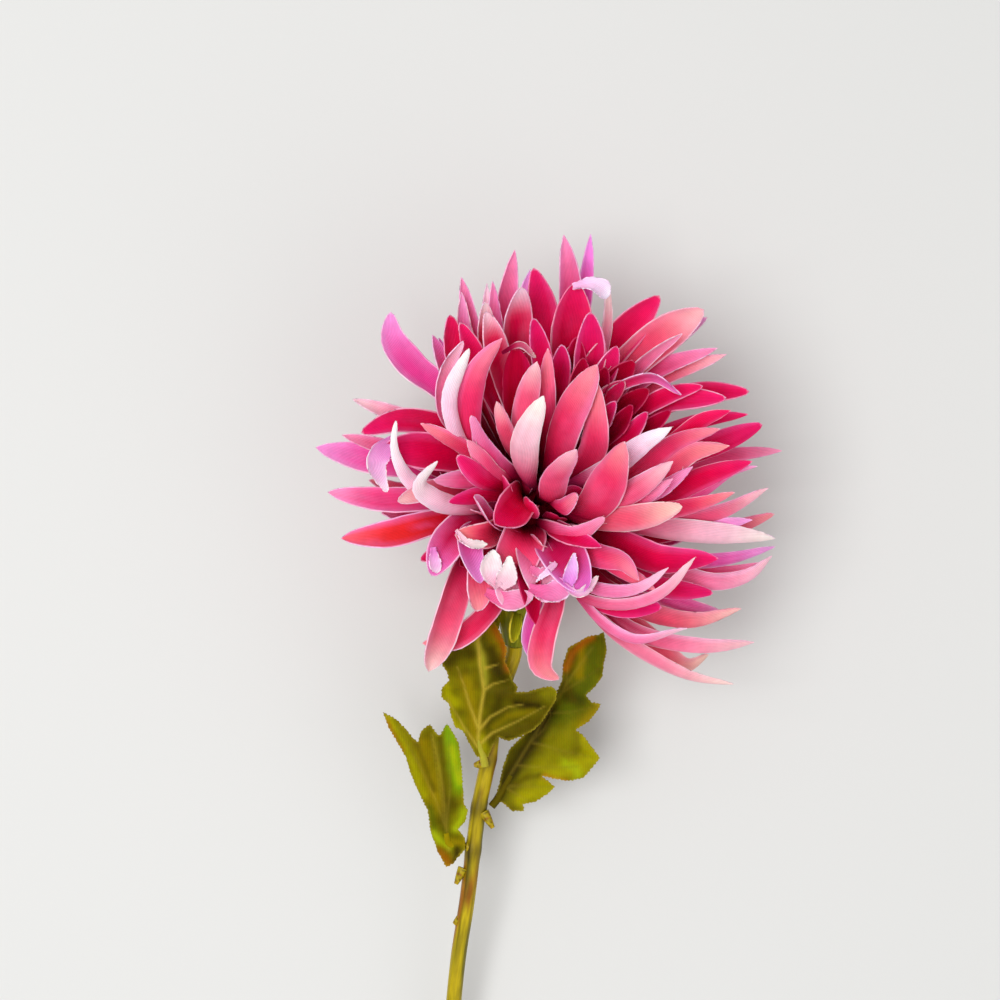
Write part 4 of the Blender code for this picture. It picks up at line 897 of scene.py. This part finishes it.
def make_threads(grids, draw, material):
    """Loose threads that stand out from the long petals' cut tips and edges."""
    verts, faces, colours, spots = [], [], [], []
    grids = [grid for grid in grids if np.linalg.norm(grid[-1, 0] - grid[0, 0]) > THREAD_PETAL]
    for _ in range(THREADS):
        grid = grids[draw.randrange(len(grids))]
        ring = RINGS - draw.choice(THREAD_FEET)
        column = draw.choice((0, len(ACROSS) - 1))
        foot = Vector(grid[ring, column])
        way = Vector(grid[ring, column] - grid[ring - 3, len(ACROSS) // 2]).normalized()
        bend = Vector((draw.uniform(-1, 1), draw.uniform(-1, 1), draw.uniform(-1, 1)))
        length = draw.uniform(*THREAD_LENGTH)
        first = len(verts)
        for share in np.linspace(0.0, 1.0, THREAD_RINGS):
            share = float(share)
            middle = foot + (way + bend * share * 0.7) * length * share
            thick = THREAD_RADIUS * (1.0 - 0.5 * share)
            for corner in range(THREAD_SIDES):
                turn = math.tau * corner / THREAD_SIDES
                spot = middle + Vector((math.cos(turn), math.sin(turn), math.sin(turn + 1))) * thick
                verts.append((spot.x, spot.y, max(spot.z, 0.0)))
                colours.append(linear(CUT_EDGE))
                spots.append((turn, share))
        faces += [[first + i for i in face] for face in ring_faces(THREAD_RINGS, THREAD_SIDES)]
        faces.append([first, first + 2, first + 1])
        faces.append([len(verts) - 3, len(verts) - 2, len(verts) - 1])
    return add_mesh("petal_threads", verts, faces, colours, spots, material)


def make_petals():
    """All the petals, shown and hidden, with the cushion and the loose threads."""
    material = cloth_material("petal_cloth", 0.42, 0.10, 0.78)
    draw = random.Random(LOOK_SEED)
    shown = Cloth(CLOTH)
    for _, rise, facing, rows in WHORLS:
        for look, form, width, lift, belly, roll, *readings in rows:
            path = shown_path(rise, lift, belly, readings)
            add_petal(shown, path, width * FULLNESS, roll, facing, look, form, draw)
    for look, form, width, readings in FLAPS:
        add_petal(shown, photo_line(readings), width, 0, 1, look, form, draw)
    under = Cloth(CLOTH)
    for path, width in hidden_paths():
        add_petal(under, path, width * HIDDEN_SPREAD, draw.uniform(-8, 8), 0,
                  draw.choice(UNDER_LOOKS), "lens", draw)
    for path, width in rest_paths():
        add_petal(under, path, width, 0, 0, draw.choice(REST_LOOKS), "lens", draw)
    for path in filler_paths(draw):
        add_petal(under, path, draw.uniform(*FILLER_WIDTH), draw.uniform(-15, 15), 0,
                  draw.choice(FILLER_LOOKS), "spoon", draw)
    pieces = [shown.build("petals_shown", material), under.build("petals_under", material)]
    pieces.append(make_core(material))
    pieces.append(make_threads(shown.grids, draw, material))
    for piece in pieces:
        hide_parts("bloom")


def nearest_on_line(line, spot):
    """Gap from a spot to a line, height there (0 if the line has none), side of it, share along."""
    best = None
    for i, (a, b) in enumerate(zip(line, line[1:])):
        run = (b[0] - a[0], b[1] - a[1])
        off = (spot[0] - a[0], spot[1] - a[1])
        square = run[0] ** 2 + run[1] ** 2
        share = min(1.0, max(0.0, (off[0] * run[0] + off[1] * run[1]) / square))
        gap = math.hypot(off[0] - run[0] * share, off[1] - run[1] * share)
        if best is None or gap < best[0]:
            side = 1.0 if run[0] * off[1] - run[1] * off[0] > 0 else -1.0
            height = a[2] + (b[2] - a[2]) * share if len(a) > 2 else 0.0
            best = (gap, height, side, (i + share) / (len(line) - 1))
    return best


def toothed(outline, draw):
    """The outline in short steps, each a little in or out, as cut cloth is."""
    edge = []
    for a, b in zip(outline, outline[1:] + outline[:1]):
        run = math.dist(a, b)
        steps = max(1, round(run / LEAF_STEP))
        for k in range(steps):
            share = k / steps
            tooth = TOOTH * (k % 2 - 0.5)
            off = tooth + draw.uniform(-LEAF_FRAY, LEAF_FRAY) if k else 0.0
            edge.append((a[0] + (b[0] - a[0]) * share - (b[1] - a[1]) / run * off,
                         a[1] + (b[1] - a[1]) * share + (b[0] - a[0]) / run * off))
    return edge


def inside(outline, spot):
    """Whether a spot is inside a closed outline."""
    hit = False
    for (ax, ay), (bx, by) in zip(outline, outline[1:] + outline[:1]):
        if (ay > spot[1]) != (by > spot[1]) and spot[0] < (bx - ax) * (spot[1] - ay) / (by - ay) + ax:
            hit = not hit
    return hit


def leaf_surface(name, spot):
    """Height over the bloom's centre and colour of a leaf at a spot of the photo."""
    outline, midrib, left, right, _ = LEAVES[name]
    outline = pairs(outline)
    x, y = spot
    gap, height, side, _ = nearest_on_line(midrib, spot)
    height += (right if side > 0 else left) * gap * PHOTO_UNIT
    near, rib_share = gap, 0.0
    for vein in LEAF_VEINS[name]:
        vein_gap, _, _, share = nearest_on_line(pairs(vein), spot)
        if vein_gap < near:
            near, rib_share = vein_gap, share
    ridge = math.exp(-(near / (VEIN_REACH - rib_share)) ** 2) * (1.0 - 0.5 * rib_share)
    rim = nearest_on_line(outline + outline[:1], spot)[0]
    ruffle = bumps(x * 0.07, y * 0.07, 3.0)
    pillow = 1.0 - math.exp(-near / 5.0)
    height += VEIN_RISE * ridge + PILLOW_RISE * pillow + WAVE_RISE * ruffle * pillow
    height += RIM_RISE * math.exp(-rim / 4.0) * bumps(x * 0.16, y * 0.16, 9.0)
    patch = 0.5 + 0.5 * noise.noise(Vector((x, y, 0.0)) * 0.09)
    colour = mix(linear(OLIVE), linear(DARK_OLIVE_AND_SHADE), patch)
    # painted shade on the half of the leaf that is folded away from the light
    shade_left, shade_right = PAINTED_LEAF_SHADE[name]
    lean = float(ramp(-3.0, 3.0, side * gap))
    colour = colour * (shade_left * (1 - lean) + shade_right * lean)
    smudge = 1.0 + 0.35 * bumps(x * 0.11, y * 0.11, 40.0)
    # tints of dye and, for the darkest, painted shade of folds and of what lies over the leaf
    for tint, share, reach, line in LEAF_TINTS[name]:
        off = nearest_on_line(pairs(line), spot)[0] / (reach * smudge)
        colour = mix(colour, linear(tint), share * math.exp(-off ** 2))
    colour = mix(colour, linear(VEIN), VEIN_SHARE[name] * ridge)
    thread = math.exp(-(min(near, 40.0) / 1.1) ** 2) * (1.0 - ridge)
    colour = colour * (1.0 - 0.3 * thread)
    fleck = 0.5 + 0.5 * bumps(x * 0.12, y * 0.12, 20.0)
    colour = mix(colour, linear(LEAF_EDGE), 0.8 * fleck * math.exp(-(rim / 1.3) ** 2))
    return height, colour * np.array(LEAF_TONE)


def make_leaf(name, material):
    """A cloth leaf with raised veins and a cut, uneven edge, and its moulded stalk."""
    outline, stalk = pairs(LEAVES[name][0]), LEAVES[name][-1]
    edge = toothed(outline, random.Random(LOOK_SEED + len(outline)))
    ring = len(edge)
    across, down = zip(*edge)
    spots = []
    for j in range(int((max(down) - min(down)) / LEAF_STEP)):
        for i in range(int((max(across) - min(across)) / LEAF_STEP)):
            spot = (min(across) + (i + 0.5 * (j % 2)) * LEAF_STEP, min(down) + j * LEAF_STEP)
            if inside(edge, spot) and nearest_on_line(edge + edge[:1], spot)[0] > 0.55 * LEAF_STEP:
                spots.append(spot)
    points = [Vector(p) for p in edge + spots]
    edges = [(i, (i + 1) % ring) for i in range(ring)]
    flat, _, faces, _, _, _ = geometry.delaunay_2d_cdt(points, edges, [list(range(ring))], 1, 0.001)
    places, colours = [], []
    for spot in flat:
        height, colour = leaf_surface(name, (spot.x, spot.y))
        places.append(to_row(photo_point(spot.x, spot.y, height)))
        colours.append(np.clip(colour, 0, 1))
    places, colours = np.array(places), np.array(colours)
    normals = np.tile((0.0, 0.0, 1.0), (len(places), 1))
    cloth = Cloth(LEAF_CLOTH)
    faces = [list(f) for f in faces]
    a, b, c = (places[i] for i in faces[0])
    if np.cross(b - a, c - a)[2] < 0:
        faces = [f[::-1] for f in faces]
    cloth.add(places, normals, faces, colours, colours * LEAF_BACK, places[:, :2])
    blade = cloth.build(name + "_blade", material)
    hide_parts(name)
    light, dark = (linear(colour) for colour in STALKS[name])
    rod = add_tube(name + "_stalk", photo_line(stalk), lambda share: STALK_RADIUS, 12, 16, material,
                   lambda share, turn: mix(light, dark, 0.5 + 0.5 * math.sin(turn)))
    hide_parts(name)


def add_tube(name, line, radius_at, sides, rings, material, colour_at, groove=0.0, first=None):
    """A closed round tube along a smooth line, and from a first point if given one."""
    stations = np.linspace(0.0, 1.0, rings + 1)
    places, length = smooth_path(line, stations)
    if first is not None:
        places = np.concatenate(([tuple(first)], places))
        stations = np.concatenate(([0.0], stations))
    steep = abs(Vector(places[1] - places[0]).normalized().z) >= 0.8
    across, up = carried_frames(places, Vector((1.0, 0.0, 0.0) if steep else (0.0, 0.0, 1.0)))
    verts, colours, spots = [], [], []
    for i, (place, share) in enumerate(zip(places, stations)):
        for k in range(sides):
            turn = math.tau * k / sides
            flute = 1.0 + groove * math.cos(GROOVES * turn + 1.5 * math.sin(share * 7))
            out = (across[i] * math.cos(turn) + up[i] * math.sin(turn)) * radius_at(share) * flute
            verts.append(np.array(to_row(place + out)))
            colours.append(np.clip(colour_at(share, turn), 0, 1))
            spots.append((turn * STEM_RADIUS, share * length))
    count = len(places)
    faces = ring_faces(count, sides)
    for i, turn_round in ((0, True), (count - 1, False)):
        middle = len(verts)
        verts.append(np.array(to_row(places[i])))
        colours.append(colours[i * sides])
        spots.append((0.0, stations[i] * length))
        for k in range(sides):
            face = [middle, i * sides + k, i * sides + (k + 1) % sides]
            faces.append(face[::-1] if turn_round else face)
    verts = np.array(verts)
    verts[:, 2] = np.maximum(verts[:, 2], 0.0)
    return add_mesh(name, verts, faces, colours, spots, material)


def stem_colour(share, turn):
    """Yellow olive with rust streaks and darker joints where the leaves come out."""
    across, up = math.cos(turn), math.sin(turn)
    patch = bumps(share * 14, across * 0.8, up * 0.8)
    colour = mix(linear(STEM_YELLOW), linear(STEM_RUST), float(ramp(-0.1, 0.5, patch)))
    green = bumps(share * 9 + 40, across, up)
    colour = mix(colour, linear(STEM_GREEN), 0.8 * float(ramp(-0.05, 0.4, green)))
    line = bumps(share * 5, across * 4, up * 4 + 9)
    joint = sum(math.exp(-((share - place) / 0.018) ** 2) for place in STEM_JOINTS)
    dark = min(1.0, 0.5 * float(ramp(0.15, 0.5, line)) + 0.6 * joint)
    return mix(colour, linear(STEM_DARK), dark) * np.array(STEM_TONE)


def stem_radius(share):
    """A little uneven, with a swelling at each joint."""
    bulge = sum(0.10 * math.exp(-((share - joint) / 0.012) ** 2) for joint in STEM_JOINTS)
    return STEM_RADIUS * (0.98 + bulge + 0.03 * bumps(share * 22, 0.0, 5.0))


def make_stem():
    """The fluted stem with its nubs and the socket for the left leaf."""
    material = plastic_material("stem_plastic", 0.42, 0.12)
    end = CALYX[-1][1]
    line = [NECK_AXIS * (end - STEM_START)] + photo_line(STEM_PATH)
    pieces = [add_tube("stem_moulded", line, stem_radius, 24, 150, material, stem_colour,
                       GROOVE_DEPTH, NECK_AXIS * (end - GAP))]
    taper = NUB_RADIUS - NUB_END_RADIUS
    for i, nub in enumerate(NUBS):
        pieces.append(add_tube(f"stem_nub_{i}", photo_line((nub[:3], nub[3:])),
                               lambda share: NUB_RADIUS - taper * share ** 1.5, 12, 10, material,
                               stem_colour))
    pieces.append(add_tube("stem_socket", photo_line(SOCKET), lambda share: SOCKET_RADIUS, 16, 8,
                           material, stem_colour))
    for piece in pieces:
        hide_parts("stem")


def add_turned(name, profile, axis, sides, rings, ripple, colour_at, material):
    """A smooth profile of (radius, height) turned round an axis, rippled by a rule."""
    profile = np.array(profile, dtype=float)
    along = run_along(profile)
    stations = np.linspace(0.0, along[-1], rings)
    radii = np.interp(stations, along, profile[:, 0])
    heights = np.interp(stations, along, profile[:, 1])
    turn_to = axis.to_track_quat("Z", "Y")
    verts, colours, spots = [], [], []
    for station, radius, height in zip(stations, radii, heights):
        for k in range(sides):
            turn = math.tau * k / sides
            out = max(radius * ripple(turn, height), 0.02)
            place = turn_to @ Vector((out * math.cos(turn), out * math.sin(turn), height))
            verts.append(np.array(to_row(place)))
            colours.append(np.clip(colour_at(turn, height), 0, 1))
            spots.append((turn * 6.0, station))
    faces = ring_faces(rings, sides)
    faces.append(list(range(sides)))
    faces.append(list(range((rings - 1) * sides, rings * sides)))
    return add_mesh(name, verts, faces, colours, spots, material)


def make_calyx():
    """The moulded cup with fine ribs, and its sepals as small pointed leaves."""
    material = plastic_material("calyx_plastic", 0.5, 0.15)

    def ripple(turn, height):
        return 1.0 + 0.03 * math.cos(SEPALS * 2 * turn) + 0.02 * bumps(turn * 2, height, 0)

    def cup_colour(turn, height):
        shade = 0.5 + 0.5 * bumps(math.cos(turn) * 2, math.sin(turn) * 2, height * 0.3)
        streak = bumps(math.cos(turn) * 7, math.sin(turn) * 7, height * 0.08)
        olive = mix(linear(OLIVE), linear(GREEN), shade)
        return mix(olive, linear(YELLOW), float(ramp(0.1, 0.5, streak)))

    cup = add_turned("calyx_cup", CALYX, NECK_AXIS, 56, 40, ripple, cup_colour, material)
    draw = random.Random(LOOK_SEED)
    sepals = Cloth(SEPAL_CLOTH)
    across = NECK_AXIS.cross(Vector((1, 0, 0))).normalized()
    for i in range(SEPALS):
        turn = mathutils.Quaternion(NECK_AXIS, math.tau * (i + SEPAL_TURN) / SEPALS)
        out = turn @ across
        path = [out * r + NECK_AXIS * h for r, h in SEPAL_PATH]
        add_petal(sepals, path, SEPAL_WIDTH, 0, 0, GREEN_LOOK, "lens", draw)
    ring = sepals.build("calyx_sepals", cloth_material("sepal_skin", 0.7, 0.08, 0.5))
    for piece in (cup, ring):
        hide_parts("calyx")


def make_core(material):
    """The cushion that the petals stand in, dark crimson painted darker as the shade between their
    roots.
    """
    def ripple(turn, height):
        spot = Vector((math.cos(turn) * 3, math.sin(turn) * 3, height * 0.3))
        return 0.97 + 0.05 * noise.noise(spot) + 0.03 * noise.noise(spot * 3)

    def dye_and_shade(turn, height):
        spot = Vector((math.cos(turn) * 4, math.sin(turn) * 4, height * 0.4))
        return mix(linear(CORE_DARK), linear(CORE_RED), 0.5 + 0.5 * noise.noise(spot))

    cushion = [*CORE[:2], *((radius * CORE_SHARE, height * CORE_SHARE) for radius, height in CORE[2:])]
    return add_turned("petal_core", cushion, NECK_AXIS, 64, 40, ripple, dye_and_shade, material)


def filler_paths(draw):
    """Short petals round the cushion, from near the calyx to the top, in a golden spiral."""
    side = NECK_AXIS.cross(Vector((1, 0, 0))).normalized()
    near = side.cross(NECK_AXIS).normalized()
    for i in range(FILLERS):
        lean = math.acos(1.0 - (i + 0.5) / FILLERS * (1.0 - math.cos(math.radians(FILLER_END))))
        turn = i * math.pi * (3.0 - math.sqrt(5.0))
        round_it = near * math.cos(turn) + side * math.sin(turn)
        way = NECK_AXIS * math.cos(lean) + round_it * math.sin(lean)
        bent = way + NECK_AXIS * draw.uniform(0.05, 0.35) + round_it * draw.uniform(-0.2, 0.2)
        reach = draw.uniform(*FILLER_REACH)
        tip = (way + bent.normalized()).normalized() * reach
        yield [way * ROOT_DEPTH, way * reach * 0.62, tip]


def make_stage():
    """Pale floor, soft light from the photo's upper left and the camera over the photo's middle."""
    bpy.ops.mesh.primitive_plane_add(size=FLOOR_SIZE, location=(0, 0, 0))
    floor = bpy.context.object
    floor.name = "floor"
    material, principled = shader("floor_paint", 0.85)
    feed(principled, {"Base Color": (*linear(FLOOR_TONE), 1.0)})
    floor.data.materials.append(material)
    world = bpy.data.worlds.new("soft_room")
    bpy.context.scene.world = world
    world.use_nodes = True
    feed(world.node_tree.nodes["Background"], {"Color": (1.0, 1.0, 1.0, 1.0), "Strength": ROOM_LIGHT})
    for name, (place, size, power) in LAMPS.items():
        light = bpy.data.lights.new(name, "AREA")
        light.size = size
        light.energy = power
        lamp = add_object(name, light)
        lamp.location = place
        lamp.rotation_euler = Vector(place).to_track_quat("Z", "Y").to_euler()
    make_camera()


def make_camera():
    """The photo's own view: straight down on the flower over the photo's middle."""
    lens = bpy.data.cameras.new("camera")
    lens.lens_unit = "FOV"
    lens.angle = 2 * math.atan(PHOTO_MIDDLE[0] * PHOTO_UNIT / CAMERA_HEIGHT)
    lens.clip_start = 0.01
    camera = add_object("camera", lens)
    across, up = PHOTO_MIDDLE[0] - CENTRE[0], CENTRE[1] - PHOTO_MIDDLE[1]
    camera.location = to_row((across * PHOTO_UNIT, up * PHOTO_UNIT, CAMERA_HEIGHT)) * MM
    bpy.context.scene.camera = camera


def main():
    """The stage and camera, then the flower."""
    bpy.context.scene.view_settings.view_transform = "Standard"
    make_stage()
    make_petals()
    make_calyx()
    make_stem()
    leaf_cloth = cloth_material("leaf_cloth", 0.5, 0.06, 0.5)
    for name in LEAVES:
        make_leaf(name, leaf_cloth)


main()
